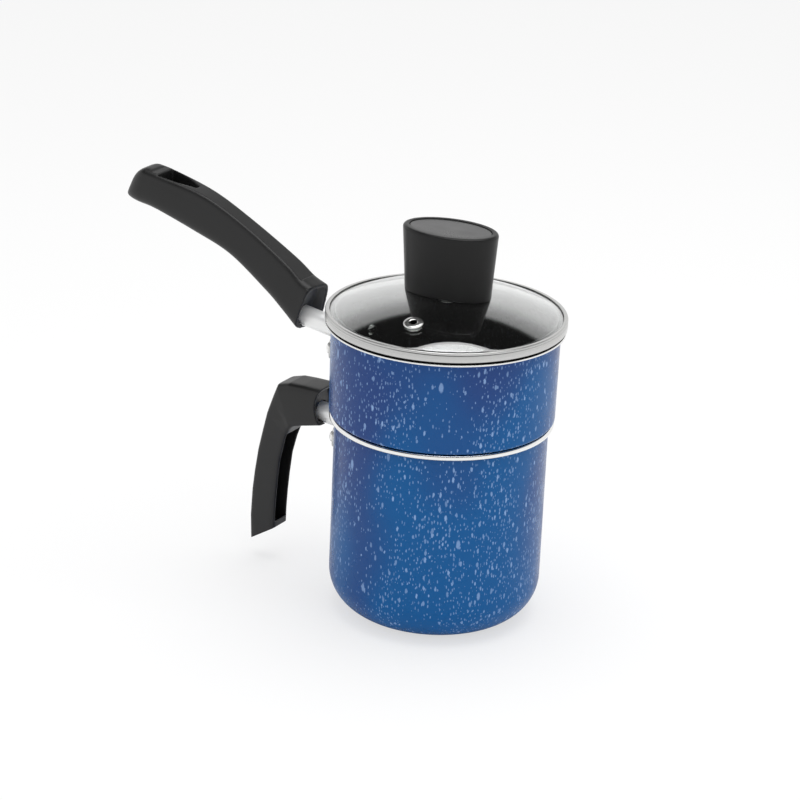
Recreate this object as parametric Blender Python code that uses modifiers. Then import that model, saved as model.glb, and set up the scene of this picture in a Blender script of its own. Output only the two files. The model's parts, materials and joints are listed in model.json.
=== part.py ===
"""Couscous steamer: a pot for the water, a steaming vessel that nests in it, and a glass lid.

Metres, +Z up. The origin is the centre of the pot's flat base, and both handles point along -X.
Lengths that are called drops are measured downwards from the rim of the piece they belong to.
"""

import math

import bmesh
import bpy
from mathutils import Matrix, Vector

# Sides and steps of round pieces
TURN_STEPS = 44
SMALL_STEPS = 16
FERRULE_STEPS = 24
CORNER_STEPS = 5
BEND_STEPS = 3
BEAD_STEPS = 6
DOME_STEPS = 6

# Clearances
SEAT_GAP = 0.0003
LOOSE_GAP = 0.0005

# Pot for the water
POT_RADIUS = 0.0657
POT_HEIGHT = 0.1281
POT_WALL = 0.0014
POT_CORNER = 0.0255
POT_BEAD_REACH = 0.0034
POT_BEAD_HEIGHT = 0.0036
POT_BEAD_FOOT = 0.0047
POT_MOUTH_ROUND = 0.0020

# Steaming vessel
VESSEL_OVERHANG = 0.0007
VESSEL_RADIUS = POT_RADIUS + POT_BEAD_REACH + VESSEL_OVERHANG
VESSEL_DRAFT = 0.0005
VESSEL_HEIGHT = 0.0586
VESSEL_WALL = 0.0014
VESSEL_CORNER = 0.0024
SPIGOT_DEPTH = 0.0150
SPIGOT_ROUND = 0.0022
LEDGE_WIDTH = 0.0060
FLANGE_WIDTH = 0.0034
FLANGE_RADIUS = VESSEL_RADIUS + FLANGE_WIDTH
FLANGE_BEND = 0.0026
EDGE_ROUND = 0.0004

# Perforated plate
PLATE_THICKNESS = 0.0010
HOLE_RADIUS = 0.0018
HOLE_PITCH = 0.0120
HOLE_RINGS = 4
HOLE_SIDES = 7

# Lid
LID_TURN = math.radians(6)
BAND_OVERHANG = 0.0004
BAND_RADIUS = FLANGE_RADIUS + BAND_OVERHANG
BAND_HEIGHT = 0.0072
BAND_SHEET = 0.0005
BAND_BEAD = 0.0006
BAND_NECK = 0.0014
BAND_SHOULDER = 0.0019
BAND_LIP = 0.0026
SKIRT_DEPTH = 0.0032
SKIRT_FOLD = 0.0012
GLASS_THICKNESS = 0.0036
GLASS_EDGE_GAP = 0.0004
GLASS_CHAMFER = 0.0012
DOME_RISE = 0.0146
GLASS_BORE = 0.0040

# Steam vent
VENT_INSET = 0.0246
VENT_DISTANCE = BAND_RADIUS - VENT_INSET
VENT_FLANGE = 0.0060
VENT_SLEEVE = 0.0036
VENT_HOLE = 0.0021
VENT_LIP = 0.0009
VENT_CROWN = 0.0011

# Knob
KNOB_HEIGHT = 0.0390
KNOB_TOP_LENGTH = 0.0606
KNOB_TOP_WIDTH = 0.0402
KNOB_TAPER = 0.0054
KNOB_ROUND = 0.0020
KNOB_SHELL = 0.0032
KNOB_STEPS = 36
CAP_MARGIN = 0.0040
CAP_THICKNESS = 0.0024
CAP_SINK = 0.0005
INSERT_RADIUS = 0.0040
INSERT_LENGTH = 0.0110
SCREW_RADIUS = 0.0022
SCREW_HEAD_RADIUS = 0.0046
SCREW_HEAD_HEIGHT = 0.0026
CROSS_LENGTH_SHARE = 0.9
CROSS_WIDTH_SHARE = 0.22
WASHER_RADIUS = 0.0090
WASHER_THICKNESS = 0.0010
GASKET_RADIUS = 0.0084
GASKET_THICKNESS = 0.0014

# Handle brackets, ferrules and rivets
SADDLE_SHEET = 0.0015
SADDLE_HEIGHT = 0.0130
SADDLE_TIP = 0.0008
SADDLE_COLUMNS = 14
RIVET_ANGLE = math.radians(18)
RIVET_SINK = 0.0032
RIVET_SHANK = 0.0016
RIVET_HEAD = 0.0037
RIVET_DOME = 0.0022
RIVET_TAIL = 0.0017
FERRULE_RADIUS = 0.00635
FERRULE_WALL = 0.0008
TANG_WIDTH = 0.0070
TANG_THICKNESS = 0.0045
TANG_END = 0.0055
TANG_BEND = 0.0020
GRIP_SCREW_RADIUS = 0.0020
GRIP_SCREW_HEAD = 0.0036
GRIP_SCREW_HEAD_HEIGHT = 0.0022
SCREW_FLOOR = 0.0036

# Long handle, on the vessel
LONG_DROP = 0.0215
LONG_TILT = math.radians(8.4)
LONG_FERRULE = 0.0330
LONG_TANG = 0.0270
LONG_TANG_SLOPE = math.radians(46)
# Distance out from the wall, height over the handle's axis, width, depth, and the top's share of the width
LONG_STATIONS = (
    (0.0258, 0.0116, 0.0272, 0.0302, 0.80),
    (0.0365, 0.0188, 0.0258, 0.0260, 0.80),
    (0.0495, 0.0283, 0.0236, 0.0258, 0.78),
    (0.0787, 0.0458, 0.0212, 0.0239, 0.74),
    (0.1079, 0.0575, 0.0214, 0.0266, 0.80),
    (0.1371, 0.0654, 0.0238, 0.0242, 0.92),
    (0.1494, 0.0675, 0.0242, 0.0239, 0.92),
)
LONG_MOUTH_LEAN = math.radians(-18)
LONG_MOUTH_SKEW = 0.16
LONG_SQUARENESS = (8.0, 3.6)
TIP_LENGTH = 0.0142
TIP_FALL = 0.0172
TIP_LIFT = 0.0013
TIP_LEAN = math.radians(17)
# Distance out from the wall and half the width, at the slot's narrow end, its shoulder and its wide end
SLOT_EDGES = ((0.1135, 0.0024), (0.1255, 0.0067), (0.1392, 0.0084))
SLOT_CLIP = 0.0012
INLAY_START = 0.0375
INLAY_END = 0.1460
INLAY_DEPTH = 0.0008

# Short handle, on the pot
SHORT_DROP = 0.0206
SHORT_TILT = math.radians(5)
SHORT_FERRULE = 0.0240
SHORT_TANG = 0.0160
SHORT_TANG_SLOPE = 0.0
# Points on the outer and the inner edge, each out from the wall and above the handle's axis, and the width
SHORT_EDGES = (
    ((0.0155, 0.0197), (0.0150, -0.0041), 0.0232),
    ((0.0303, 0.0195), (0.0303, -0.0080), 0.0232),
    ((0.0395, 0.0190), (0.0356, -0.0097), 0.0230),
    ((0.0480, 0.0165), (0.0374, -0.0114), 0.0226),
    ((0.0516, 0.0079), (0.0388, -0.0131), 0.0212),
    ((0.0563, -0.0047), (0.0406, -0.0164), 0.0196),
    ((0.0597, -0.0180), (0.0426, -0.0225), 0.0184),
    ((0.0628, -0.0315), (0.0456, -0.0347), 0.0178),
    ((0.0652, -0.0470), (0.0472, -0.0491), 0.0174),
    ((0.0667, -0.0600), (0.0482, -0.0615), 0.0171),
    ((0.0676, -0.0785), (0.0488, -0.0733), 0.0169),
    ((0.0669, -0.0949), (0.0489, -0.0833), 0.0167),
)
SHORT_NOTCH = 0.0042
SHORT_TOP_SHARE = 0.98
SHORT_SQUARENESS = (8.0, 8.0)
CHANNEL_WALL = 0.0022
CHANNEL_DEPTH = 0.0105
CHANNEL_TOP = 0.0100

# Grip sections
GRIP_STEPS = 20
SPAN_STEPS = 2
FADE_STEPS = 2
MOUTH_WALL = 0.0024
MOUTH_DEPTH = 0.0055


def clear_scene():
    for leftover in list(bpy.data.objects):
        bpy.data.objects.remove(leftover)


def make_collection(name):
    collection = bpy.data.collections.new(name)
    bpy.context.scene.collection.children.link(collection)
    return collection


def make_material(name, colour, roughness, metallic, transmission=0.0):
    material = bpy.data.materials.new(name)
    material.use_nodes = True
    shader = material.node_tree.nodes["Principled BSDF"]
    shader.inputs["Base Color"].default_value = (*colour, 1)
    shader.inputs["Roughness"].default_value = roughness
    shader.inputs["Metallic"].default_value = metallic
    shader.inputs["Transmission Weight"].default_value = transmission
    material.diffuse_color = (*colour, 1)
    return material


clear_scene()
PARTS = make_collection("couscous_steamer")
CUTTERS = make_collection("cutters")

ENAMEL = make_material("speckled_blue_enamel", (0.03, 0.13, 0.38), 0.25, 0.0)
ALUMINIUM = make_material("bare_aluminium", (0.80, 0.81, 0.82), 0.30, 1.0)
STAINLESS = make_material("polished_stainless", (0.78, 0.78, 0.76), 0.18, 1.0)
CHROME = make_material("chrome_plate", (0.90, 0.90, 0.90), 0.06, 1.0)
STEEL = make_material("zinc_plated_steel", (0.62, 0.62, 0.60), 0.35, 1.0)
BRASS = make_material("brass", (0.75, 0.58, 0.28), 0.30, 1.0)
PHENOLIC = make_material("black_phenolic", (0.03, 0.03, 0.03), 0.42, 0.0)
CAP_GREY = make_material("satin_grey_cap", (0.16, 0.16, 0.16), 0.38, 0.0)
SILICONE = make_material("grey_silicone", (0.55, 0.55, 0.55), 0.60, 0.0)
GLASS = make_material("tempered_glass", (0.92, 0.95, 0.94), 0.02, 0.0, 1.0)


def make_empty(name, parent=None, location=(0, 0, 0), turn=0.0):
    empty = bpy.data.objects.new(name, None)
    PARTS.objects.link(empty)
    empty.parent = parent
    empty.location = location
    empty.rotation_euler.z = turn
    empty.empty_display_size = 0.01
    return empty


def make_object(name, mesh, material=None, parent=None, place=None, cutter=False):
    """A mesh object under its parent. A cutter is kept out of the render."""
    thing = bpy.data.objects.new(name, mesh)
    (CUTTERS if cutter else PARTS).objects.link(thing)
    thing.parent = parent
    if place is not None:
        thing.matrix_local = place
    if cutter:
        thing.hide_render = True
        thing.display_type = "WIRE"
    else:
        mesh.materials.append(material)
    return thing


def smooth(mesh, angle=35):
    mesh.shade_smooth()
    mesh.set_sharp_from_angle(angle=math.radians(angle))


def arc(x, z, radius, start, end, steps):
    """Points on an arc about (x, z), in degrees from +X towards +Z."""
    points = []
    for step in range(steps + 1):
        angle = math.radians(start + (end - start) * step / steps)
        points.append((x + radius * math.cos(angle), z + radius * math.sin(angle)))
    return points


def thick_path(path, sheet):
    """The closed outline of a sheet bent along a path, half its thickness to each side."""
    near, far = [], []
    for index, (x, z) in enumerate(path):
        before = path[max(index - 1, 0)]
        after = path[min(index + 1, len(path) - 1)]
        inward = Vector((x - before[0], z - before[1]))
        outward = Vector((after[0] - x, after[1] - z))
        inward = inward.normalized() if inward.length else outward.normalized()
        outward = outward.normalized() if outward.length else inward
        side = (inward + outward).normalized()
        side = Vector((-side.y, side.x))
        reach = sheet / 2 / max(side.dot(Vector((-outward.y, outward.x))), 0.5)
        near.append((x + side.x * reach, z + side.y * reach))
        far.append((x - side.x * reach, z - side.y * reach))
    return near + far[::-1]


def turned(name, outline, material=None, parent=None, place=None, steps=TURN_STEPS, cutter=False):
    """A profile turned about Z. One that starts and ends on the axis stays open there."""
    mesh = bpy.data.meshes.new(name)
    on_axis = outline[0][0] == 0 and outline[-1][0] == 0
    edges = [(i, i + 1) for i in range(len(outline) - 1)]
    if not on_axis:
        edges.append((len(outline) - 1, 0))
    mesh.from_pydata([(x, 0, z) for x, z in outline], edges, [])
    thing = make_object(name, mesh, material, parent, place, cutter)
    screw = thing.modifiers.new("turn", "SCREW")
    screw.steps = screw.render_steps = steps
    screw.use_merge_vertices = True
    screw.merge_threshold = 0.00001
    screw.use_smooth_shade = True
    return thing


def loft(name, rings, material=None, parent=None, place=None, cutter=False):
    """A closed skin over rings of equally many points, with a fan over each end."""
    work = bmesh.new()
    rows = [[work.verts.new(point) for point in ring] for ring in rings]
    count = len(rings[0])
    for row, following in zip(rows, rows[1:]):
        for i in range(count):
            j = (i + 1) % count
            work.faces.new((row[i], row[j], following[j], following[i]))
    for row in (rows[0], rows[-1]):
        middle = work.verts.new(sum((v.co for v in row), Vector()) / count)
        for i in range(count):
            work.faces.new((row[i], row[(i + 1) % count], middle))
    bmesh.ops.recalc_face_normals(work, faces=work.faces)
    mesh = bpy.data.meshes.new(name)
    work.to_mesh(mesh)
    work.free()
    smooth(mesh)
    return make_object(name, mesh, material, parent, place, cutter)


def cut(thing, cutter, operation="DIFFERENCE"):
    boolean = thing.modifiers.new(cutter.name, "BOOLEAN")
    boolean.operation = operation
    boolean.object = cutter
    boolean.solver = "EXACT"


def round_bar(name, radius, start, end, material=None, parent=None, steps=SMALL_STEPS, cutter=False):
    """A plain cylinder from one point to another, in its parent's space."""
    start, end = Vector(start), Vector(end)
    work = bmesh.new()
    bmesh.ops.create_cone(
        work, cap_ends=True, segments=steps, radius1=radius, radius2=radius, depth=(end - start).length
    )
    mesh = bpy.data.meshes.new(name)
    work.to_mesh(mesh)
    work.free()
    smooth(mesh)
    turn = (end - start).to_track_quat("Z", "Y").to_matrix().to_4x4()
    place = Matrix.Translation((start + end) / 2) @ turn
    return make_object(name, mesh, material, parent, place, cutter)


def pot_outline():
    """From the middle of the inside floor, up the wall, over the bead and down to the base."""
    inside = POT_RADIUS - POT_WALL
    floor_round = POT_CORNER - POT_WALL
    flat = POT_RADIUS - POT_CORNER
    bead = POT_BEAD_HEIGHT / 2
    bead_x, bead_z = POT_RADIUS + POT_BEAD_REACH - bead, POT_HEIGHT - bead
    mouth = POT_MOUTH_ROUND
    points = [(0, POT_WALL)]
    points += arc(flat, POT_CORNER, floor_round, -90, 0, CORNER_STEPS)
    points += arc(inside + mouth, POT_HEIGHT - mouth, mouth, 180, 90, BEND_STEPS)
    points += arc(bead_x, bead_z, bead, 90, -120, BEAD_STEPS)
    points += [(POT_RADIUS, POT_HEIGHT - POT_BEAD_FOOT)]
    points += arc(flat, POT_CORNER, POT_CORNER, 0, -90, CORNER_STEPS)
    points += [(0, 0)]
    return points


def vessel_outline():
    """Closed outline, from the flange down the outside to the ledge and up the inside."""
    top = VESSEL_HEIGHT
    wall_foot = VESSEL_RADIUS - VESSEL_DRAFT
    spigot = SPIGOT_RADIUS
    foot = -SPIGOT_DEPTH
    sheet = VESSEL_WALL
    bend_x, bend_z = VESSEL_RADIUS - sheet + FLANGE_BEND, top - FLANGE_BEND
    inner_foot = wall_foot - sheet
    inner_corner = VESSEL_CORNER - sheet
    ledge = spigot - LEDGE_WIDTH
    points = [(FLANGE_RADIUS - EDGE_ROUND, top), (FLANGE_RADIUS, top - EDGE_ROUND)]
    points += [(FLANGE_RADIUS, top - sheet + EDGE_ROUND), (FLANGE_RADIUS - EDGE_ROUND, top - sheet)]
    points += arc(bend_x, bend_z, FLANGE_BEND - sheet, 90, 180, BEND_STEPS)
    points += arc(wall_foot - VESSEL_CORNER, VESSEL_CORNER, VESSEL_CORNER, 0, -90, BEND_STEPS)
    points += [(spigot, 0)]
    points += arc(spigot - SPIGOT_ROUND, foot + SPIGOT_ROUND, SPIGOT_ROUND, 0, -90, BEND_STEPS)
    points += [(ledge, foot), (ledge, foot + sheet)]
    points += arc(spigot - SPIGOT_ROUND, foot + SPIGOT_ROUND, SPIGOT_ROUND - sheet, -90, 0, BEND_STEPS)
    points += [(spigot - sheet, sheet)]
    points += arc(inner_foot - inner_corner, sheet + inner_corner, inner_corner, -90, 0, BEND_STEPS)
    points += arc(bend_x, bend_z, FLANGE_BEND, 180, 90, BEND_STEPS)
    return points


SPIGOT_RADIUS = POT_RADIUS - POT_WALL - LOOSE_GAP
VESSEL_SEAT = POT_HEIGHT + SEAT_GAP
LID_SEAT = VESSEL_HEIGHT + SEAT_GAP
PLATE_SEAT = VESSEL_WALL - SPIGOT_DEPTH + SEAT_GAP

vessel_lift = make_empty("vessel_lift", location=(0, 0, VESSEL_SEAT))
plate_lift = make_empty("plate_lift", vessel_lift, (0, 0, PLATE_SEAT))
lid_lift = make_empty("lid_lift", vessel_lift, (0, 0, LID_SEAT), LID_TURN)

lower_pot = turned("lower_pot", pot_outline(), ENAMEL)
upper_vessel = turned("upper_vessel", vessel_outline(), ENAMEL, vessel_lift)


def ring_points(radius, count):
    angles = [math.tau * i / count for i in range(count)]
    return [(radius * math.cos(angle), radius * math.sin(angle)) for angle in angles]


def hole_centres():
    """A hexagonal pattern: one hole in the middle and six more in each further ring."""
    centres = [(0.0, 0.0)]
    for ring in range(1, HOLE_RINGS + 1):
        for side in range(6):
            start = Vector((HOLE_PITCH * ring, 0)) @ Matrix.Rotation(math.tau * side / 6, 2)
            end = Vector((HOLE_PITCH * ring, 0)) @ Matrix.Rotation(math.tau * (side + 1) / 6, 2)
            centres += [tuple(start.lerp(end, step / ring)) for step in range(ring)]
    return centres


def make_plate():
    """A flat disc with its holes, from one flat curve."""
    curve = bpy.data.curves.new("perforated_plate", "CURVE")
    curve.dimensions = "2D"
    curve.fill_mode = "BOTH"
    curve.extrude = PLATE_THICKNESS / 2
    radius = SPIGOT_RADIUS - VESSEL_WALL - LOOSE_GAP
    outlines = [ring_points(radius, TURN_STEPS)]
    for x, y in hole_centres():
        outlines.append([(x + u, y + v) for u, v in ring_points(HOLE_RADIUS, HOLE_SIDES)])
    for outline in outlines:
        spline = curve.splines.new("POLY")
        spline.points.add(len(outline) - 1)
        for point, (x, y) in zip(spline.points, outline):
            point.co = (x, y, 0, 1)
        spline.use_cyclic_u = True
    curve.materials.append(ALUMINIUM)
    plate = bpy.data.objects.new("perforated_plate", curve)
    PARTS.objects.link(plate)
    plate.parent = plate_lift
    plate.location.z = PLATE_THICKNESS / 2


make_plate()

# Lid: the glass dome is a cap of a sphere, clamped under the lip of a folded steel band
LIP_INNER = BAND_RADIUS - BAND_LIP
LIP_UNDER = BAND_HEIGHT - BAND_SHEET
GLASS_TOP_EDGE = LIP_UNDER - SEAT_GAP
DOME_RADIUS = (LIP_INNER**2 + DOME_RISE**2) / (2 * DOME_RISE)
DOME_CENTRE = GLASS_TOP_EDGE + DOME_RISE - DOME_RADIUS
DOME_TOP = GLASS_TOP_EDGE + DOME_RISE


def dome_height(distance, depth=0.0):
    """Height of the glass above the band's underside, at a distance from the lid's axis."""
    return DOME_CENTRE + math.sqrt((DOME_RADIUS - depth) ** 2 - distance**2)


def glass_outline():
    """Closed outline, out along the top, down the edge and back along the underside."""
    edge = BAND_RADIUS - BAND_SHEET - GLASS_EDGE_GAP
    reach = edge - GLASS_CHAMFER - GLASS_BORE
    stops = [GLASS_BORE + reach * step / DOME_STEPS for step in range(DOME_STEPS + 1)]
    top = [(x, dome_height(x)) for x in stops]
    under = [(x, dome_height(x, GLASS_THICKNESS)) for x in stops]
    upper_corner = (edge, dome_height(edge) - GLASS_CHAMFER)
    lower_corner = (edge, dome_height(edge, GLASS_THICKNESS) + GLASS_CHAMFER)
    return top + [upper_corner, lower_corner] + under[::-1]


def band_path():
    """The middle of the sheet, from the lip over the bead, down the wall and into the skirt."""
    half = BAND_SHEET / 2
    wall = BAND_RADIUS - half
    lip = BAND_HEIGHT - half
    skirt = VESSEL_RADIUS - VESSEL_WALL - LOOSE_GAP - half
    fold = SKIRT_FOLD / 2
    tail_x = skirt - SKIRT_FOLD
    tail_top = dome_height(tail_x, GLASS_THICKNESS) - 2 * SEAT_GAP
    path = [(LIP_INNER, lip)]
    path += arc(wall - BAND_BEAD, lip - BAND_BEAD, BAND_BEAD, 90, -45, BEND_STEPS)
    path += [(wall - BAND_BEAD, lip - BAND_NECK), (wall, lip - BAND_SHOULDER)]
    path += arc(wall - BAND_BEAD, half + BAND_BEAD, BAND_BEAD, 0, -90, 1)
    path += arc(skirt + BAND_BEAD, half - BAND_BEAD, BAND_BEAD, 90, 180, 1)
    path += arc(skirt - fold, fold - SKIRT_DEPTH, fold, 0, -180, 2)
    path += [(tail_x, tail_top)]
    return path


lid_glass = turned("lid_glass", glass_outline(), GLASS, lid_lift)
lid_band = turned("lid_band", thick_path(band_path(), BAND_SHEET), STAINLESS, lid_lift)


def vent_outline():
    """Closed outline of a swaged eyelet, from its upper flange down to the lower one."""
    upper = SEAT_GAP
    lower = -GLASS_THICKNESS - SEAT_GAP
    shoulder = (VENT_FLANGE + VENT_SLEEVE) / 2
    return [
        (VENT_HOLE + VENT_LIP / 2, upper + VENT_CROWN),
        (shoulder, upper + VENT_CROWN),
        (VENT_FLANGE, upper + VENT_LIP / 2),
        (VENT_FLANGE, upper),
        (VENT_SLEEVE, upper),
        (VENT_SLEEVE, lower),
        (VENT_FLANGE - VENT_LIP, lower),
        (VENT_FLANGE - VENT_LIP, lower - VENT_LIP / 2),
        (shoulder - VENT_LIP / 2, lower - VENT_LIP),
        (VENT_HOLE, lower - VENT_LIP),
        (VENT_HOLE, upper + VENT_LIP / 2),
    ]


vent_lean = math.asin(VENT_DISTANCE / DOME_RADIUS)
vent_spot = Matrix.Translation((0, -VENT_DISTANCE, dome_height(VENT_DISTANCE)))
vent_place = vent_spot @ Matrix.Rotation(vent_lean, 4, "X")
steam_vent_eyelet = turned("steam_vent_eyelet", vent_outline(), STAINLESS, lid_lift, vent_place, SMALL_STEPS)
vent_bore = round_bar(
    "vent_bore",
    VENT_SLEEVE + SEAT_GAP,
    vent_place @ Vector((0, 0, -2 * GLASS_THICKNESS)),
    vent_place @ Vector((0, 0, GLASS_THICKNESS)),
    parent=lid_lift,
    cutter=True,
)
cut(lid_glass, vent_bore)

# Knob, with its screw, washer and gasket under the glass
KNOB_FOOT_LENGTH = KNOB_TOP_LENGTH - KNOB_TAPER
KNOB_FOOT_WIDTH = KNOB_TOP_WIDTH - KNOB_TAPER
KNOB_SEAT = DOME_TOP + SEAT_GAP
KNOB_TOP = KNOB_SEAT + KNOB_HEIGHT
RECESS_FLOOR = KNOB_TOP - CAP_SINK - CAP_THICKNESS - SEAT_GAP
INSERT_FOOT = KNOB_SEAT + SEAT_GAP


def knob_ring(height, inset=0.0, on_dome=False):
    """An oval around the knob's tapered side, moved in by inset. On the dome it follows the glass."""
    share = min(max((height - KNOB_SEAT) / KNOB_HEIGHT, 0), 1)
    half_length = (KNOB_FOOT_LENGTH + KNOB_TAPER * share) / 2 - inset
    half_width = (KNOB_FOOT_WIDTH + KNOB_TAPER * share) / 2 - inset
    ring = []
    for step in range(KNOB_STEPS):
        angle = math.tau * step / KNOB_STEPS
        x, y = half_length * math.cos(angle), half_width * math.sin(angle)
        droop = dome_height(math.hypot(x, y)) - DOME_TOP if on_dome else 0
        ring.append(Vector((x, y, height + droop)))
    return ring


def round_ring(radius, height, steps=KNOB_STEPS):
    return [Vector((x, y, height)) for x, y in ring_points(radius, steps)]


def knob_rings():
    """From the floor of the cap's recess, over the lip, down the side and up into the hollow."""
    boss = INSERT_RADIUS + KNOB_SHELL
    ceiling = RECESS_FLOOR - KNOB_SHELL
    bore = INSERT_RADIUS + SEAT_GAP
    rings = [knob_ring(RECESS_FLOOR, CAP_MARGIN + KNOB_ROUND), knob_ring(RECESS_FLOOR, CAP_MARGIN)]
    rings += [knob_ring(KNOB_TOP - 2 * CAP_SINK, CAP_MARGIN)]
    for angle in (120, 90, 60, 30, 0):
        inset = KNOB_ROUND * (1 - math.cos(math.radians(angle)))
        rings.append(knob_ring(KNOB_TOP - KNOB_ROUND * (1 - math.sin(math.radians(angle))), inset))
    rings += [knob_ring(KNOB_SEAT + KNOB_ROUND / 2, 0, True), knob_ring(KNOB_SEAT, KNOB_ROUND / 2, True)]
    rings += [knob_ring(KNOB_SEAT, KNOB_SHELL, True), knob_ring(ceiling, KNOB_SHELL + KNOB_TAPER / 2)]
    rings += [round_ring(boss, ceiling), round_ring(boss, KNOB_SEAT), round_ring(bore, KNOB_SEAT)]
    rings += [round_ring(bore, INSERT_FOOT + INSERT_LENGTH + SEAT_GAP)]
    return rings


def cap_rings():
    """An oval plug with softened edges, a groove's width clear of the recess."""
    margin = CAP_MARGIN + SEAT_GAP
    top = KNOB_TOP - CAP_SINK
    return [
        knob_ring(top - CAP_THICKNESS, margin + EDGE_ROUND),
        knob_ring(top - EDGE_ROUND, margin),
        knob_ring(top, margin + EDGE_ROUND),
        knob_ring(top, margin + 3 * KNOB_ROUND),
    ]


knob_body = loft("knob_body", knob_rings(), PHENOLIC, lid_lift)
knob_cap = loft("knob_cap", cap_rings(), CAP_GREY, lid_lift)

WASHER_TOP = DOME_TOP - GLASS_THICKNESS - 2 * SEAT_GAP - GASKET_THICKNESS - SEAT_GAP
WASHER_FOOT = WASHER_TOP - WASHER_THICKNESS
HEAD_TOP = WASHER_FOOT - SEAT_GAP


def ring_outline(inner, outer, low, high):
    return [(inner, high), (outer, high), (outer, low), (inner, low)]


def fixing_ring(name, radius, foot, thickness, material, steps):
    """A flat ring or sleeve on the knob's screw."""
    outline = ring_outline(SCREW_RADIUS + SEAT_GAP, radius, foot, foot + thickness)
    return turned(name, outline, material, lid_lift, steps=steps)


gasket_foot = WASHER_TOP + SEAT_GAP
fixing_ring("knob_gasket", GASKET_RADIUS, gasket_foot, GASKET_THICKNESS, SILICONE, 2 * SMALL_STEPS)
fixing_ring("knob_washer", WASHER_RADIUS, WASHER_FOOT, WASHER_THICKNESS, STAINLESS, 2 * SMALL_STEPS)
fixing_ring("knob_insert", INSERT_RADIUS, INSERT_FOOT, INSERT_LENGTH, BRASS, SMALL_STEPS)


def dome_points(radius, base, rise):
    """Half the outline of a low dome, from its edge to its top."""
    bend = math.radians(50)
    return [(radius, base), (radius * math.cos(bend), base + rise * math.sin(bend)), (0, base + rise)]


def screw_outline(shank, head, head_height, length, under_head=0.0):
    """A plain shank with a chamfered end, above a pan head whose lower half is domed."""
    tip = under_head + length
    points = [(0, tip), (shank - EDGE_ROUND, tip), (shank, tip - EDGE_ROUND)]
    points += [(shank, under_head), (head, under_head)]
    return points + dome_points(head, under_head - head_height / 2, -head_height / 2)


def driver_slot(name, thing, head, head_height, under_head, parent, place):
    """A cross recess sunk into a screw's head."""
    work = bmesh.new()
    for turn in (0, math.pi / 2):
        size = Matrix.Diagonal((CROSS_LENGTH_SHARE * head, CROSS_WIDTH_SHARE * head, head_height, 1))
        spot = Matrix.Translation((0, 0, under_head - head_height)) @ Matrix.Rotation(turn, 4, "Z") @ size
        bmesh.ops.create_cube(work, size=1, matrix=spot)
    mesh = bpy.data.meshes.new(name)
    work.to_mesh(mesh)
    work.free()
    cutter = make_object(name, mesh, parent=parent, place=place, cutter=True)
    cut(thing, cutter)
    thing.modifiers[cutter.name].use_self = True


knob_screw = turned(
    "knob_screw",
    screw_outline(
        SCREW_RADIUS, SCREW_HEAD_RADIUS, SCREW_HEAD_HEIGHT, INSERT_FOOT + INSERT_LENGTH - HEAD_TOP, HEAD_TOP
    ),
    STEEL,
    lid_lift,
    steps=SMALL_STEPS,
)
driver_slot(
    "knob_screw_recess", knob_screw, SCREW_HEAD_RADIUS, SCREW_HEAD_HEIGHT, HEAD_TOP, lid_lift, Matrix()
)


# Handles. Each has its own space: +X runs out from the wall, and the handle's axis meets the wall at 0.


def bar_rings(path, width, thickness):
    """Oblong sections square to a path in the XZ plane."""
    rings = []
    for index, (x, z) in enumerate(path):
        before, after = path[max(index - 1, 0)], path[min(index + 1, len(path) - 1)]
        along = Vector((after[0] - before[0], 0, after[1] - before[1])).normalized()
        up = Vector((-along.z, 0, along.x)) * thickness / 2
        side = Vector((0, width / 2, 0))
        centre = Vector((x, 0, z))
        rings.append([centre + up + side, centre + up - side, centre - up - side, centre - up + side])
    return rings


def smooth_stations(stations, spans):
    """Catmull-Rom through the stations, each a tuple of numbers."""
    found = []
    last = len(stations) - 1
    for index in range(last):
        p0 = Vector(stations[max(index - 1, 0)])
        p1, p2 = Vector(stations[index]), Vector(stations[index + 1])
        p3 = Vector(stations[min(index + 2, last)])
        for step in range(spans):
            t = step / spans
            linear, square, cubic = p2 - p0, 2 * p0 - 5 * p1 + 4 * p2 - p3, 3 * p1 - p0 - 3 * p2 + p3
            found.append(p1 + (linear * t + square * t**2 + cubic * t**3) / 2)
    found.append(Vector(stations[-1]))
    return found


def grip_section(station, slope, squareness, inset=0.0, skew=0.0):
    """A rounded section square to a slope in the XZ plane, or skewed in plan.

    Its squareness is given for the upper and for the lower half.
    """
    x, z, width, depth, top_share = station
    along = Vector((math.cos(slope), 0, math.sin(slope)))
    up = Vector((-along.z, 0, along.x))
    ring = []
    for step in range(GRIP_STEPS):
        angle = math.tau * (step + 0.5) / GRIP_STEPS
        c, s = math.cos(angle), math.sin(angle)
        power = 2 / squareness[s < 0]
        rise = math.copysign(abs(s) ** power, s)
        across = math.copysign(abs(c) ** power, c)
        narrow = 1 - (1 - top_share) * (rise + 1) / 2
        y = across * (width / 2 - inset) * narrow
        ring.append(Vector((x, y, z)) + up * rise * (depth / 2 - inset) + along * y * skew)
    return ring


def slopes_of(stations, start_lean):
    """The path's slope at each station. The first sections lean, each less than the one before."""
    slopes = []
    for index in range(len(stations)):
        before, after = stations[max(index - 1, 0)], stations[min(index + 1, len(stations) - 1)]
        slopes.append(math.atan2(after[1] - before[1], after[0] - before[0]))
    for index in range(FADE_STEPS):
        slopes[index] += start_lean * (1 - index / FADE_STEPS)
    return slopes


def between_edges(edges, top_share):
    """Stations halfway between an outer and an inner edge, and the slopes that set them square."""
    stations, slopes = [], []
    for outer, inner, width in edges:
        across = Vector(outer) - Vector(inner)
        middle = (Vector(outer) + Vector(inner)) / 2
        stations.append(Vector((*middle, width, across.length, top_share)))
        slopes.append(math.atan2(-across.x, across.y))
    return stations, slopes


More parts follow.
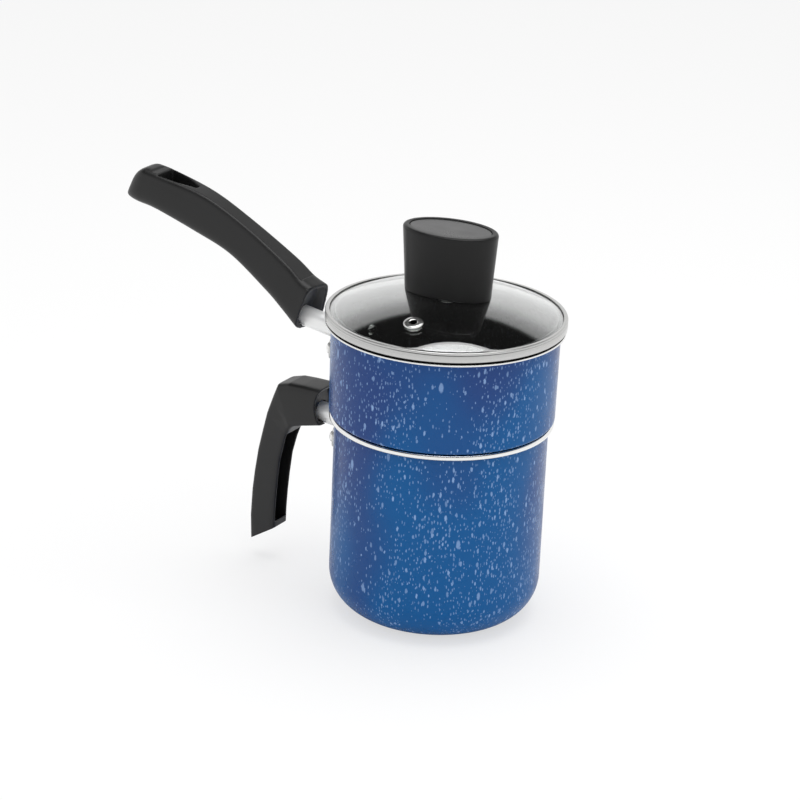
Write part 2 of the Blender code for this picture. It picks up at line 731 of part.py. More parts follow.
def part_way(path, slopes, distance):
    """The station and the slope at a distance along the path."""
    for index in range(len(path) - 1):
        step = math.dist(path[index][:2], path[index + 1][:2])
        if distance <= step:
            break
        distance -= step
    share = distance / step
    slope = slopes[index] + (slopes[index + 1] - slopes[index]) * share
    return path[index].lerp(path[index + 1], share), slope


def make_grip(name, path, slopes, squareness, skew, end_rings, parent):
    """The hollow mouth, the outer skin along the path, and whatever closes its far end."""
    rings = [grip_section(*part_way(path, slopes, MOUTH_DEPTH), squareness, MOUTH_WALL)]
    rings += [grip_section(path[0], slopes[0], squareness, MOUTH_WALL, skew)]
    for index, (station, slope) in enumerate(zip(path, slopes)):
        rings.append(grip_section(station, slope, squareness, 0, skew * max(1 - index / FADE_STEPS, 0)))
    return loft(name, rings + end_rings, PHENOLIC, parent)


def notch_mouth(prefix, frame, grip, station, slope, sink):
    """Cuts the sides of the mouth back in an arc that is deepest halfway up."""
    half = station[3] / 2
    radius = (half**2 + sink**2) / (2 * sink)
    back = sink - radius
    x, z = station[0] + math.cos(slope) * back, station[1] + math.sin(slope) * back
    left, right = Vector((x, -station[2], z)), Vector((x, station[2], z))
    name = prefix + "_mouth_scoop"
    cut(grip, round_bar(name, radius, left, right, parent=frame, steps=2 * TURN_STEPS, cutter=True))


def long_tip(station, slope):
    """A rounded end: the sections narrow as an oval does, their tops falling away and leaning back."""
    rings = []
    for angle in (16, 34, 50, 65, 79):
        narrow = math.cos(math.radians(angle))
        reach = TIP_LENGTH * math.sin(math.radians(angle))
        fall, lift = TIP_FALL * (1 - narrow), TIP_LIFT * (1 - narrow)
        x = station[0] + math.cos(slope) * reach
        z = station[1] + math.sin(slope) * reach + (lift - fall) / 2
        end = (x, z, station[2] * narrow, station[3] - fall - lift, station[4])
        rings.append(grip_section(end, slope + TIP_LEAN * reach / TIP_LENGTH, LONG_SQUARENESS))
    return rings


def saddle_rings(radius):
    """A strap bent round the wall, with half-round ends about its two rivets."""
    half = SADDLE_HEIGHT / 2
    reach = radius * RIVET_ANGLE + half
    rings = []
    for column in range(SADDLE_COLUMNS + 1):
        along = -reach * math.cos(math.pi * column / SADDLE_COLUMNS)
        past = max(abs(along) - radius * RIVET_ANGLE, 0)
        tall = math.sqrt(max(half**2 - past**2, SADDLE_TIP**2))
        angle = along / radius
        ring = []
        for distance, height in ((0, -tall), (0, tall), (SADDLE_SHEET, tall), (SADDLE_SHEET, -tall)):
            r = radius + SEAT_GAP + distance
            ring.append(Vector((r * math.cos(angle) - radius, r * math.sin(angle), height - RIVET_SINK)))
        rings.append(ring)
    return rings


def rivet_outline(grip):
    """A dome outside, a shank through saddle and wall, and a flatter head inside."""
    outer = SEAT_GAP
    inner = -grip - SEAT_GAP
    points = dome_points(RIVET_HEAD, outer, RIVET_DOME)[::-1] + [(RIVET_SHANK, outer), (RIVET_SHANK, inner)]
    return points + dome_points(RIVET_HEAD, inner, -RIVET_TAIL)


def make_handle_mount(prefix, frame, radius, sheet, wall, tilt, ferrule_length, tang_length, tang_slope):
    """Saddle with its tang, chromed ferrule and two rivets. Returns the bracket and its tang's path."""
    out = Vector((math.cos(tilt), 0, math.sin(tilt)))
    start = out * (SEAT_GAP + SADDLE_SHEET / 2)
    bend = out * (ferrule_length - TANG_BEND)
    end = bend + Vector((math.cos(tang_slope), 0, math.sin(tang_slope))) * tang_length
    middle = bend + (out + (end - bend).normalized()) * TANG_THICKNESS / 3
    path = [(p.x, p.z) for p in (start, bend, middle, end)]
    saddle = loft(prefix + "_bracket", saddle_rings(radius), STEEL, frame)
    rings = bar_rings(path, TANG_WIDTH, TANG_THICKNESS)
    cut(saddle, loft(prefix + "_tang_shape", rings, parent=frame, cutter=True), "UNION")

    stand_off = 2 * SEAT_GAP + SADDLE_SHEET
    fall = FERRULE_RADIUS * math.tan(tilt)
    turn = out.to_track_quat("Z", "Y").to_matrix().to_4x4()
    tube = ring_outline(FERRULE_RADIUS - FERRULE_WALL, FERRULE_RADIUS, stand_off + fall, ferrule_length)
    turned(prefix + "_ferrule", tube, CHROME, frame, turn, FERRULE_STEPS)

    for index, side in enumerate((-1, 1), 1):
        angle = side * RIVET_ANGLE
        outward = Vector((math.cos(angle), math.sin(angle), 0))
        face = outward * (radius + SEAT_GAP + SADDLE_SHEET) - Vector((radius, 0, RIVET_SINK))
        turn = outward.to_track_quat("Z", "Y").to_matrix().to_4x4()
        place = Matrix.Translation(face) @ turn
        outline = rivet_outline(sheet + SADDLE_SHEET + SEAT_GAP)
        turned(f"{prefix}_rivet_{index}", outline, STAINLESS, frame, place, SMALL_STEPS)
        reach = outward * (3 * sheet + SADDLE_SHEET)
        name = f"{prefix}_rivet_hole_{index}"
        hole = round_bar(name, RIVET_SHANK + SEAT_GAP, face - reach, face + reach, parent=frame, cutter=True)
        cut(saddle, hole)
        cut(wall, hole)
    return saddle, path


def grip_screw(prefix, frame, grip, bracket, path):
    """A screw from under the grip up through the tang, its head sunk in a counterbore."""
    end = Vector((path[-1][0], 0, path[-1][1]))
    along = (end - Vector((path[-2][0], 0, path[-2][1]))).normalized()
    up = Vector((-along.z, 0, along.x))
    spot = end - along * TANG_END
    seat = spot - up * (TANG_THICKNESS / 2 + SCREW_FLOOR)
    tip = spot + up * TANG_THICKNESS / 2
    head_place = Matrix.Translation(seat) @ up.to_track_quat("Z", "Y").to_matrix().to_4x4()
    outline = screw_outline(GRIP_SCREW_RADIUS, GRIP_SCREW_HEAD, GRIP_SCREW_HEAD_HEIGHT, (tip - seat).length)
    screw = turned(prefix + "_screw", outline, STEEL, frame, head_place, SMALL_STEPS)
    recess = prefix + "_screw_recess"
    driver_slot(recess, screw, GRIP_SCREW_HEAD, GRIP_SCREW_HEAD_HEIGHT, 0, frame, head_place)
    past = up * SEAT_GAP
    bore, counterbore = GRIP_SCREW_RADIUS + SEAT_GAP, GRIP_SCREW_HEAD + SEAT_GAP
    start, below = seat - up * GRIP_SCREW_HEAD_HEIGHT, seat - up * FERRULE_RADIUS * 2
    shank_hole = round_bar(prefix + "_shank_hole", bore, start, tip + past, parent=frame, cutter=True)
    head_hole = round_bar(prefix + "_head_hole", counterbore, below, seat + past, parent=frame, cutter=True)
    cut(grip, shank_hole)
    cut(grip, head_hole)
    cut(bracket, shank_hole)


def tang_pocket(prefix, frame, grip, path):
    """The slot in the grip that takes the tang."""
    start, end = Vector(path[-2]), Vector(path[-1])
    along = (end - start).normalized()
    before = Vector(path[1]) - (Vector(path[1]) - Vector(path[0])).normalized() * 2 * MOUTH_DEPTH
    route = [tuple(before), path[1], path[2], tuple(end + along * SEAT_GAP)]
    rings = bar_rings(route, TANG_WIDTH + 2 * SEAT_GAP, TANG_THICKNESS + 2 * SEAT_GAP)
    cut(grip, loft(prefix + "_tang_pocket", rings, parent=frame, cutter=True))


def ferrule_pocket(prefix, frame, grip, tilt, length):
    """The round seat in the grip for the end of the ferrule."""
    out = Vector((math.cos(tilt), 0, math.sin(tilt)))
    start, end = out * length / 2, out * (length + SEAT_GAP)
    radius, name = FERRULE_RADIUS + SEAT_GAP, prefix + "_ferrule_pocket"
    cut(grip, round_bar(name, radius, start, end, parent=frame, steps=FERRULE_STEPS, cutter=True))


def handle_frame(name, parent, radius, height):
    return make_empty(name, parent, (-radius, 0, height), math.pi)


long_wall = VESSEL_RADIUS - VESSEL_DRAFT * LONG_DROP / VESSEL_HEIGHT
long_frame = handle_frame("long_handle_frame", vessel_lift, long_wall, VESSEL_HEIGHT - LONG_DROP)
long_bracket, long_tang_path = make_handle_mount(
    "long_handle",
    long_frame,
    long_wall,
    VESSEL_WALL,
    upper_vessel,
    LONG_TILT,
    LONG_FERRULE,
    LONG_TANG,
    LONG_TANG_SLOPE,
)
long_path = smooth_stations(LONG_STATIONS, SPAN_STEPS)
long_slopes = slopes_of(long_path, LONG_MOUTH_LEAN)
long_grip = make_grip(
    "long_handle_grip",
    long_path,
    long_slopes,
    LONG_SQUARENESS,
    LONG_MOUTH_SKEW,
    long_tip(long_path[-1], long_slopes[-1]),
    long_frame,
)
ferrule_pocket("long_handle", long_frame, long_grip, LONG_TILT, LONG_FERRULE)
tang_pocket("long_handle", long_frame, long_grip, long_tang_path)
grip_screw("long_handle", long_frame, long_grip, long_bracket, long_tang_path)


def hanging_slot():
    """A slot through the far end of the long grip, widening from its narrow end, its corners clipped."""
    (near_x, near), shoulder, (far_x, far) = SLOT_EDGES
    side = [
        (near_x, near - SLOT_CLIP),
        (near_x + SLOT_CLIP, near),
        shoulder,
        (far_x - SLOT_CLIP, far),
        (far_x, far - SLOT_CLIP),
    ]
    corners = side + [(x, -y) for x, y in side[::-1]]
    heights = [station[1] for station in long_path if station[0] > near_x - far]
    depth = max(station[3] for station in long_path)
    rings = [[Vector((x, y, z)) for x, y in corners] for z in (min(heights) - depth, max(heights) + depth)]
    cut(long_grip, loft("long_handle_slot", rings, parent=long_frame, cutter=True))


def top_inlay():
    """The shallow sunken field along the top of the long grip, with a low step at each end."""
    rings = []
    last = len(long_path) - 1
    spots = [station[0] for station in long_path]
    stops = [INLAY_START] + [x for x in spots if INLAY_START < x < INLAY_END] + [INLAY_END]
    for stop in stops:
        index = min(max(i for i, x in enumerate(spots) if x <= stop), last - 1)
        share = (stop - spots[index]) / (spots[index + 1] - spots[index])
        x, z, width, depth, top_share = long_path[index].lerp(long_path[index + 1], share)
        slope = long_slopes[index] + (long_slopes[index + 1] - long_slopes[index]) * share
        up = Vector((-math.sin(slope), 0, math.cos(slope)))
        side = Vector((0, width * top_share, 0))
        low = Vector((x, 0, z)) + up * (depth / 2 - INLAY_DEPTH)
        high = low + up * depth / 2
        rings.append([low + side, low - side, high - side, high + side])
    cut(long_grip, loft("long_handle_inlay", rings, parent=long_frame, cutter=True))


top_inlay()
hanging_slot()

short_frame = handle_frame("short_handle_frame", None, POT_RADIUS, POT_HEIGHT - SHORT_DROP)
short_bracket, short_tang_path = make_handle_mount(
    "short_handle",
    short_frame,
    POT_RADIUS,
    POT_WALL,
    lower_pot,
    SHORT_TILT,
    SHORT_FERRULE,
    SHORT_TANG,
    SHORT_TANG_SLOPE,
)
short_path, short_slopes = between_edges(SHORT_EDGES, SHORT_TOP_SHARE)
short_grip = make_grip(
    "short_handle_grip", short_path, short_slopes, SHORT_SQUARENESS, 0, [], short_frame
)
notch_mouth("short_handle", short_frame, short_grip, short_path[0], short_slopes[0], SHORT_NOTCH)
ferrule_pocket("short_handle", short_frame, short_grip, SHORT_TILT, SHORT_FERRULE)
tang_pocket("short_handle", short_frame, short_grip, short_tang_path)
grip_screw("short_handle", short_frame, short_grip, short_bracket, short_tang_path)


def channel_ring(station, slope):
    """An oblong across the face towards the pot, from outside the grip to the channel's floor."""
    x, z, width, depth = station[:4]
    up = Vector((-math.sin(slope), 0, math.cos(slope)))
    side = Vector((0, width / 2 - CHANNEL_WALL, 0))
    centre = Vector((x, 0, z))
    low, high = centre - up * depth, centre + up * (CHANNEL_DEPTH - depth / 2)
    return [high + side, high - side, low - side, low + side]


def palm_channel():
    """The channel up the inside of the short grip, closed by a wall at its lower end."""
    rings = []
    for station, slope in zip(short_path[:-1], short_slopes):
        if station[1] < -CHANNEL_TOP:
            rings.append(channel_ring(station, slope))
    end = short_path[-1].copy()
    end[1] += 2 * CHANNEL_WALL
    rings.append(channel_ring(end, short_slopes[-1]))
    cut(short_grip, loft("short_handle_channel", rings, parent=short_frame, cutter=True))


palm_channel()
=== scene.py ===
"""The looks of a couscous steamer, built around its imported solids.

Metres, +Z up. The origin is the middle of the pot's flat base, and both handles point along -X.
"""

import json
import math

import bmesh
import bpy
import numpy as np
from mathutils import Matrix, Vector

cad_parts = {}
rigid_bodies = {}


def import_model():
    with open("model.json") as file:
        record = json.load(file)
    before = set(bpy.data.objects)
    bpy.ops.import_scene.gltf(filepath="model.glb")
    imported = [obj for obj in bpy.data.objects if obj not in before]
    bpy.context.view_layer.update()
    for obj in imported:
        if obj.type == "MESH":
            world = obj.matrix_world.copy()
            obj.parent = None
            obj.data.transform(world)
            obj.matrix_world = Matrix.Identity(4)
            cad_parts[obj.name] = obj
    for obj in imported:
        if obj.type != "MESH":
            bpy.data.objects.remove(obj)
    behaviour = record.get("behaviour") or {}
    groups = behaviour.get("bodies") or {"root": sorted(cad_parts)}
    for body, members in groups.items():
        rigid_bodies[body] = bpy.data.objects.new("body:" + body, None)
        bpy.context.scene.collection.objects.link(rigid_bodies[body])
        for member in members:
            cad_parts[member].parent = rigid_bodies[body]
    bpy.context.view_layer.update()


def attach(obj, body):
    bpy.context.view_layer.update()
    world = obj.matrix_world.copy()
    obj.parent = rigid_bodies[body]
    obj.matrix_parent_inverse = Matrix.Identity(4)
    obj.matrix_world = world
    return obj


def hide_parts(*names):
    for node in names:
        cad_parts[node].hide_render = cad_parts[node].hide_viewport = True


for leftover in list(bpy.data.objects):
    bpy.data.objects.remove(leftover)
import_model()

# Lower pot, for the water. Drawn aluminium with speckled blue enamel outside and black non-stick inside.
# Its rim is rolled outwards into a bead, left bare and polished, and its base is turned flat.
POT_RADIUS = 0.0657
POT_HEIGHT = 0.1281
POT_WALL = 0.0014
POT_CORNER = 0.0255
BEAD_RADIUS = 0.0691
BEAD_HEIGHT = 0.0036
MOUTH_ROUND = 0.0020
BEAD_FILLET = 0.0005
VIOLET_BLUE = (38, 68, 127)
TEAL_BLUE = (14, 88, 149)
SPECK_BLUE = (140, 172, 218)
SPECK_SQUASH = 0.42
# Cell, size and shift of the fine specks, the coarse ones and the rare blobs
FINE_SPECKS = (0.0018, 0.0009, 0.0)
COARSE_SPECKS = (0.0036, 0.0015, 0.37)
BLOB_SPECKS = (0.0150, 0.0027, 0.61)
TURN_STEPS = 176
FOLD_ANGLE = math.radians(38)
WELD = 0.000002
# The least distance by which one face is told from another
HAIR = 0.0001
# How much of a face's normal has to point a way for the face to count as facing it
SIDEWAYS = 0.05


def colour(red, green, blue):
    """A colour on a screen's scale, 0 to 255, as the linear colour that a shader takes."""
    def linear(level):
        level /= 255
        return level / 12.92 if level <= 0.04045 else ((level + 0.055) / 1.055) ** 2.4

    return linear(red), linear(green), linear(blue), 1.0


def sums(operation, swapped=False):
    """The method that adds one Math node when a Value meets a number or another Value."""
    def method(value, other):
        pair = (other, value) if swapped else (value, other)
        return value.tree.node("ShaderNodeMath", {"operation": operation}, dict(enumerate(pair)))

    return method


class Value:
    """What one socket gives. Sums on it add their Math nodes."""

    def __init__(self, tree, socket):
        self.tree = tree
        self.socket = socket

    __add__ = __radd__ = sums("ADD")
    __mul__ = __rmul__ = sums("MULTIPLY")
    __sub__ = sums("SUBTRACT")
    __rsub__ = sums("SUBTRACT", True)
    __truediv__ = sums("DIVIDE")
    __gt__ = sums("GREATER_THAN")
    greater = sums("MAXIMUM")
    bearing = sums("ARCTAN2")

    def math(self, operation):
        return self.tree.node("ShaderNodeMath", {"operation": operation}, {0: self})

    def parts(self):
        """X, Y and Z of a vector."""
        split = self.tree.node("ShaderNodeSeparateXYZ", {}, {"Vector": self})
        return [Value(self.tree, socket) for socket in split.socket.node.outputs]

    def within(self, low, high, start=0.0, end=1.0):
        """Runs smoothly from start to end as the value goes from low to high."""
        sockets = {"Value": self, "From Min": low, "From Max": high, "To Min": start, "To Max": end}
        return self.tree.node("ShaderNodeMapRange", {"interpolation_type": "SMOOTHSTEP"}, sockets)


class Tree:
    """A node tree, and the one way in which nodes are added to it."""

    def __init__(self, tree):
        self.tree = tree

    def socket(self, sockets, key):
        if isinstance(key, int):
            return sockets[key]
        return next(socket for socket in sockets if socket.name == key and socket.enabled)

    def feed(self, socket, value):
        if isinstance(value, list):
            for each in value:
                self.feed(socket, each)
        elif isinstance(value, Value):
            self.tree.links.new(value.socket, socket)
        else:
            socket.default_value = value

    def node(self, kind, settings=None, sockets=None, out=0):
        """Adds a node of a kind, with its settings and then its sockets' numbers or links."""
        made = self.tree.nodes.new(kind)
        for name, setting in (settings or {}).items():
            setattr(made, name, setting)
        for key, value in (sockets or {}).items():
            self.feed(self.socket(made.inputs, key), value)
        return Value(self, self.socket(made.outputs, out))

    def vector(self, x=0.0, y=0.0, z=0.0):
        return self.node("ShaderNodeCombineXYZ", {}, {0: x, 1: y, 2: z})


class Finish(Tree):
    """A material: one Principled shader, and what varies it over the surface."""

    def __init__(self, name, **sockets):
        self.material = bpy.data.materials.new(name)
        self.material.use_nodes = True
        super().__init__(self.material.node_tree)
        self.shader = self.tree.nodes["Principled BSDF"]
        self.place = self.node("ShaderNodeTexCoord", out="Object")
        self.set(**sockets)

    def set(self, **sockets):
        for name, value in sockets.items():
            self.feed(self.shader.inputs[name.replace("_", " ")], value)

    def noise(self, scale, detail=2.0, stretch=(1, 1, 1), rough=0.5):
        spot = self.node("ShaderNodeMapping", {}, {"Vector": self.place, "Scale": stretch})
        sockets = {"Vector": spot, "Scale": scale, "Detail": detail, "Roughness": rough}
        return self.node("ShaderNodeTexNoise", {}, sockets, "Fac")

    def mix(self, share, low, high):
        sockets = {"Factor": share, "A": low, "B": high}
        return self.node("ShaderNodeMix", {"data_type": "RGBA"}, sockets, "Result")

    def bump(self, height, depth, strength=1.0):
        sockets = {"Height": height, "Distance": depth, "Strength": strength}
        self.set(Normal=self.node("ShaderNodeBump", {}, sockets))

    def from_axis(self):
        """X, Y and Z of the surface, and its distance from Z."""
        x, y, z = self.place.parts()
        return x, y, z, (x * x + y * y).math("SQRT")

    def unrolled(self, radius):
        """The surface rolled out flat about Z: round the axis at a radius, and down the wall and under."""
        x, y, z, distance = self.from_axis()
        return self.vector(y.bearing(x) * radius, z + distance - radius)

    def rings(self, pitch):
        """Fine rings about Z, as a lathe or a polishing wheel leaves them."""
        _, _, z, distance = self.from_axis()
        sockets = {"Vector": self.vector(distance, z), "Scale": 1 / pitch, "Detail": 2.0}
        return self.node("ShaderNodeTexNoise", {"noise_dimensions": "2D"}, sockets, "Fac")

    def specks(self, sheet, share, cell, size, shift):
        """Upright specks of thrown enamel, at most one in each cell, of uneven size and strength."""
        squashed = {"Vector": sheet, "Location": (shift, shift, 0), "Scale": (1, SPECK_SQUASH, 1)}
        sockets = {"Vector": self.node("ShaderNodeMapping", {}, squashed), "Scale": 1 / cell}
        cells = self.node("ShaderNodeTexVoronoi", {"voronoi_dimensions": "2D"}, sockets, "Distance")
        chance, strong, _ = Value(self, cells.socket.node.outputs["Color"]).parts()
        chosen = (chance - (1 - share)) / share
        reach = chosen.within(0.0, 1.0, 0.35, 1.0) * (chosen > 0) * (size / cell / 2)
        return cells.within(reach * 0.7, reach * 1.25, 1.0, 0.0) * (chosen > 0) * (strong * 0.5 + 0.5)


def enamel(name, ground, speck, strength):
    """Fired enamel over aluminium, with the specks thrown on before the last firing."""
    finish = Finish(name, Specular_IOR_Level=0.16)
    ripple = {"Vector": finish.place, "Scale": 700.0, "Detail": 1.0}
    wander = finish.node("ShaderNodeTexNoise", {}, ripple, "Color")
    shifted = {0: wander, 1: (0.0008, 0.0016, 0), 2: finish.unrolled(POT_RADIUS)}
    sheet = finish.node("ShaderNodeVectorMath", {"operation": "MULTIPLY_ADD"}, shifted)
    drift = finish.noise(30.0, 2.0, (1, 1, 0.35)).within(0.38, 0.62, 0.2, 0.85)
    fine = finish.specks(sheet, drift, *FINE_SPECKS)
    coarse = finish.specks(sheet, drift * 0.75, *COARSE_SPECKS)
    blobs = finish.specks(sheet, 0.16, *BLOB_SPECKS)
    mask = (fine * 0.75).greater(coarse).greater(blobs * 0.9)
    cloud = finish.noise(13.0, 1.0, (1, 1, 0.6)).within(0.34, 0.57)
    base = finish.mix(cloud, colour(*ground[0]), colour(*ground[1]))
    finish.set(Base_Color=finish.mix(mask * strength, base, colour(*speck)))
    finish.set(Roughness=finish.noise(60.0, 3.0).within(0.3, 0.7, 0.24, 0.33))
    finish.bump(finish.noise(420.0, 2.0) + mask * 0.6, 0.00002, 0.5)
    return finish.material


def arc(x, z, radius, start, end, steps):
    """Points on an arc about (x, z), in degrees from +X towards +Z."""
    angles = np.radians(np.linspace(start, end, steps + 1))
    return [(x + radius * math.cos(angle), z + radius * math.sin(angle)) for angle in angles]


def trace(*parts):
    """An outline through points, each (x, z), and arcs, each with the six values that arc takes."""
    points = []
    for part in parts:
        points += arc(*part) if len(part) > 2 else [part]
    return points


def new_tree(name, inputs):
    """A Geometry Nodes tree with named inputs, and what they give."""
    group = bpy.data.node_groups.new(name, "GeometryNodeTree")
    group.interface.new_socket("Shape", in_out="OUTPUT", socket_type="NodeSocketGeometry")
    for label, kind in inputs.items():
        group.interface.new_socket(label, in_out="INPUT", socket_type="NodeSocket" + kind)
    tree = Tree(group)
    source = group.nodes.new("NodeGroupInput")
    return tree, {label: Value(tree, source.outputs[label]) for label in inputs}


def end_tree(tree, shape, finish):
    """Shades a tree's shape smoothly between its sharp edges and gives it its finish."""
    real = tree.node("GeometryNodeRealizeInstances", {}, {0: shape})
    soft = tree.node("GeometryNodeSetShadeSmooth", {"domain": "FACE"}, {0: real, "Shade Smooth": True})
    fold = tree.node("GeometryNodeInputMeshEdgeAngle", out="Unsigned Angle") > FOLD_ANGLE
    creases = {0: soft, "Selection": fold, "Shade Smooth": False}
    crisp = tree.node("GeometryNodeSetShadeSmooth", {"domain": "EDGE"}, creases)
    painted = tree.node("GeometryNodeSetMaterial", {}, {0: crisp, "Material": finish})
    tree.feed(tree.tree.nodes.new("NodeGroupOutput").inputs["Shape"], painted)


def turning_tree():
    """Carries an outline in the XZ plane round Z. It runs down its outer side, so that faces point out."""
    tree, given = new_tree("turned_piece", {"Outline": "Geometry", "Steps": "Int", "Finish": "Material"})
    columns = given["Steps"] + 1
    rows = tree.node(
        "GeometryNodeAttributeDomainSize", {"component": "MESH"}, {0: given["Outline"]}, "Point Count"
    )
    sheet = tree.node("GeometryNodeMeshGrid", {}, {"Vertices X": rows, "Vertices Y": columns})
    number = tree.node("GeometryNodeInputIndex")
    row = (number / columns).math("FLOOR")
    angle = (number - row * columns) * math.tau / given["Steps"]
    spot = tree.node(
        "GeometryNodeSampleIndex",
        {"data_type": "FLOAT_VECTOR", "domain": "POINT"},
        {0: given["Outline"], "Value": tree.node("GeometryNodeInputPosition"), "Index": row},
    )
    x, _, z = spot.parts()
    place = tree.vector(x * angle.math("COSINE"), x * angle.math("SINE"), z)
    moved = tree.node("GeometryNodeSetPosition", {}, {0: sheet, "Position": place})
    sewn = tree.node("GeometryNodeMergeByDistance", {}, {0: moved, "Distance": WELD})
    end_tree(tree, sewn, given["Finish"])
    return tree.tree


def put(name, data):
    """A new object in the scene."""
    thing = bpy.data.objects.new(name, data)
    bpy.context.scene.collection.objects.link(thing)
    return thing


def run_tree(name, group, mesh, place=Matrix(), **values):
    """A new object whose plain mesh is what a Geometry Nodes tree makes of a mesh."""
    thing = put(name, mesh)
    modifier = thing.modifiers.new(group.name, "NODES")
    modifier.node_group = group
    sockets = {item.name: item.identifier for item in group.interface.items_tree if item.in_out == "INPUT"}
    for label, value in values.items():
        modifier[sockets[label.replace("_", " ")]] = value
    settle(thing)
    thing.data.transform(place)
    paint(thing, [values["Finish"]])
    return thing


def paint(thing, finishes, chosen=None):
    """Makes these the finishes of a mesh, and gives each face its own by number."""
    mesh = thing.data
    mesh.materials.clear()
    for finish in finishes:
        mesh.materials.append(finish)
    numbers = np.zeros(len(mesh.polygons), np.int32) if chosen is None else chosen.astype(np.int32)
    mesh.polygons.foreach_set("material_index", numbers)


def settle(thing):
    """Makes an object's modifiers its plain mesh."""
    graph = bpy.context.evaluated_depsgraph_get()
    mesh = bpy.data.meshes.new_from_object(thing.evaluated_get(graph))
    thing.modifiers.clear()
    thing.data = mesh


TURNING = turning_tree()


def outline_mesh(points, closed=False):
    mesh = bpy.data.meshes.new("outline")
    points = points + points[:1] if closed else points
    mesh.from_pydata([(x, 0, z) for x, z in points], [(i, i + 1) for i in range(len(points) - 1)], [])
    return mesh


def turned(name, points, finish, place=Matrix(), closed=False, steps=TURN_STEPS):
    return run_tree(name, TURNING, outline_mesh(points, closed), place, Steps=steps, Finish=finish)


def of_faces(mesh, measure):
    """The centre or the normal of every face, one row for each."""
    found = np.empty(len(mesh.polygons) * 3)
    mesh.polygons.foreach_get(measure, found)
    return found.reshape(-1, 3)


def repaint(thing, finishes, choose, place=Matrix()):
    """Gives each face a finish by its distance from Z, its height and its tilt, and then puts it in place."""
    centres, normals = of_faces(thing.data, "center"), of_faces(thing.data, "normal")
    radius = np.hypot(centres[:, 0], centres[:, 1])
    outward = (centres[:, :2] * normals[:, :2]).sum(1) / np.maximum(radius, 1e-9)
    paint(thing, finishes, choose(radius, centres[:, 2], outward, normals[:, 2]))
    thing.data.transform(place)


def stand_for(thing, body, slot, *nodes):
    """Puts a finished piece on its body, in the place of its solids."""
    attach(thing, body)
    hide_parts(*nodes)


def steel(level):
    """The colour of a white metal, very slightly warm."""
    return level, level, level * 0.985, 1


def bright_metal(name, tint, rough, lines=0.000002, pitch=0.0012, turned=False, stretch=(1, 1, 1), metal=1.0):
    """Polished or satin metal, with the fine lines that its wheel, roll or lathe left."""
    finish = Finish(name, Base_Color=tint, Metallic=metal)
    grain = finish.rings(pitch) if turned else finish.noise(1 / pitch, 2.0, stretch)
    finish.set(Roughness=grain.within(0.3, 0.7, rough * 0.8, rough * 1.25))
    finish.bump(grain, lines, 0.6)
    return finish.material


ENAMEL = enamel("speckled_blue_enamel", (VIOLET_BLUE, TEAL_BLUE), SPECK_BLUE, 0.95)
LINING = enamel("black_non_stick", ((12, 12, 13), (15, 15, 16)), (70, 74, 82), 0.5)
POLISHED = bright_metal("polished_rim", steel(0.86), 0.12, turned=True)
TURNED_METAL = bright_metal("turned_aluminium", steel(0.78), 0.3, 0.000008, 0.0006, turned=True)
# Near-black metal, laid as painted shade in folds, recesses and the vent's bore.
PAINTED_SHADE = bright_metal("dark_seam", steel(0.015), 0.5, turned=True)


def pot_outline():
    """From the middle of the inside floor, up the wall, over the bead and down to the base."""
    flat, bead = POT_RADIUS - POT_CORNER, BEAD_HEIGHT / 2
    return trace(
        (0, POT_WALL), (flat / 2, POT_WALL),
        (flat, POT_CORNER, POT_CORNER - POT_WALL, -90, 0, 18),
        (POT_RADIUS - POT_WALL + MOUTH_ROUND, POT_HEIGHT - MOUTH_ROUND, MOUTH_ROUND, 180, 90, 10),
        (BEAD_RADIUS - bead, POT_HEIGHT - bead, bead, 90, -120, 24),
        (POT_RADIUS + BEAD_FILLET, POT_HEIGHT - 1.25 * BEAD_HEIGHT, BEAD_FILLET, 110, 180, 4),
        (flat, POT_CORNER, POT_CORNER, 0, -90, 18),
        (flat / 2, 0), (0, 0),
    )


def pot_finish(radius, height, outward, upward):
    """Enamel outside, lining inside, a bare bead with painted shade in the folds above and below it, a bare
    turned base.
    """
    beyond = radius > POT_RADIUS + HAIR
    bare = (height > POT_HEIGHT - 1.3 * BEAD_HEIGHT) & beyond
    bare |= height > POT_HEIGHT - MOUTH_ROUND
    inside = (radius < POT_RADIUS - 0.2 * POT_WALL) & (height > 0.3 * POT_WALL)
    inside &= (outward < -SIDEWAYS) | (upward > SIDEWAYS)
    base = (upward < -0.99) & (height < HAIR) & (radius < POT_RADIUS - POT_CORNER - BEAD_FILLET)
    # Painted shade: the bare folds under and over the bead take the near-black finish.
    fold = (height < POT_HEIGHT - 0.9 * BEAD_HEIGHT) & (upward < -0.2) & beyond
    fold |= (upward > 0.9) & (radius > POT_RADIUS) & (height > POT_HEIGHT - BEAD_HEIGHT)
    return np.select([bare & fold, bare, inside, base], [4, 2, 1, 3], 0)


lower_pot = turned("lower_pot_shell", pot_outline(), ENAMEL)
repaint(lower_pot, (ENAMEL, LINING, POLISHED, TURNED_METAL, PAINTED_SHADE), pot_finish)
stand_for(lower_pot, "pot", "speckled_enamel", "lower_pot")

# Steaming vessel. The same aluminium and enamel, with a flange round its top and a step at its foot.
# Below the step a bare spigot drops into the pot's mouth, and its turned-in ledge carries the plate.
VESSEL_RADIUS = 0.0698
VESSEL_DRAFT = 0.0005
VESSEL_HEIGHT = 0.0586
VESSEL_WALL = 0.0014
VESSEL_CORNER = 0.0024
# What neighbouring pieces stand apart, where they are held tight and where they slide
GAP = 0.0003
LOOSE_GAP = 0.0005
VESSEL_SEAT = POT_HEIGHT + GAP
SPIGOT_DEPTH = 0.0150
SPIGOT_RADIUS = POT_RADIUS - POT_WALL - LOOSE_GAP
SPIGOT_ROUND = 0.0022
LEDGE_WIDTH = 0.0060
FLANGE_RADIUS = 0.0732
FLANGE_BEND = 0.0026
EDGE_ROUND = 0.0004


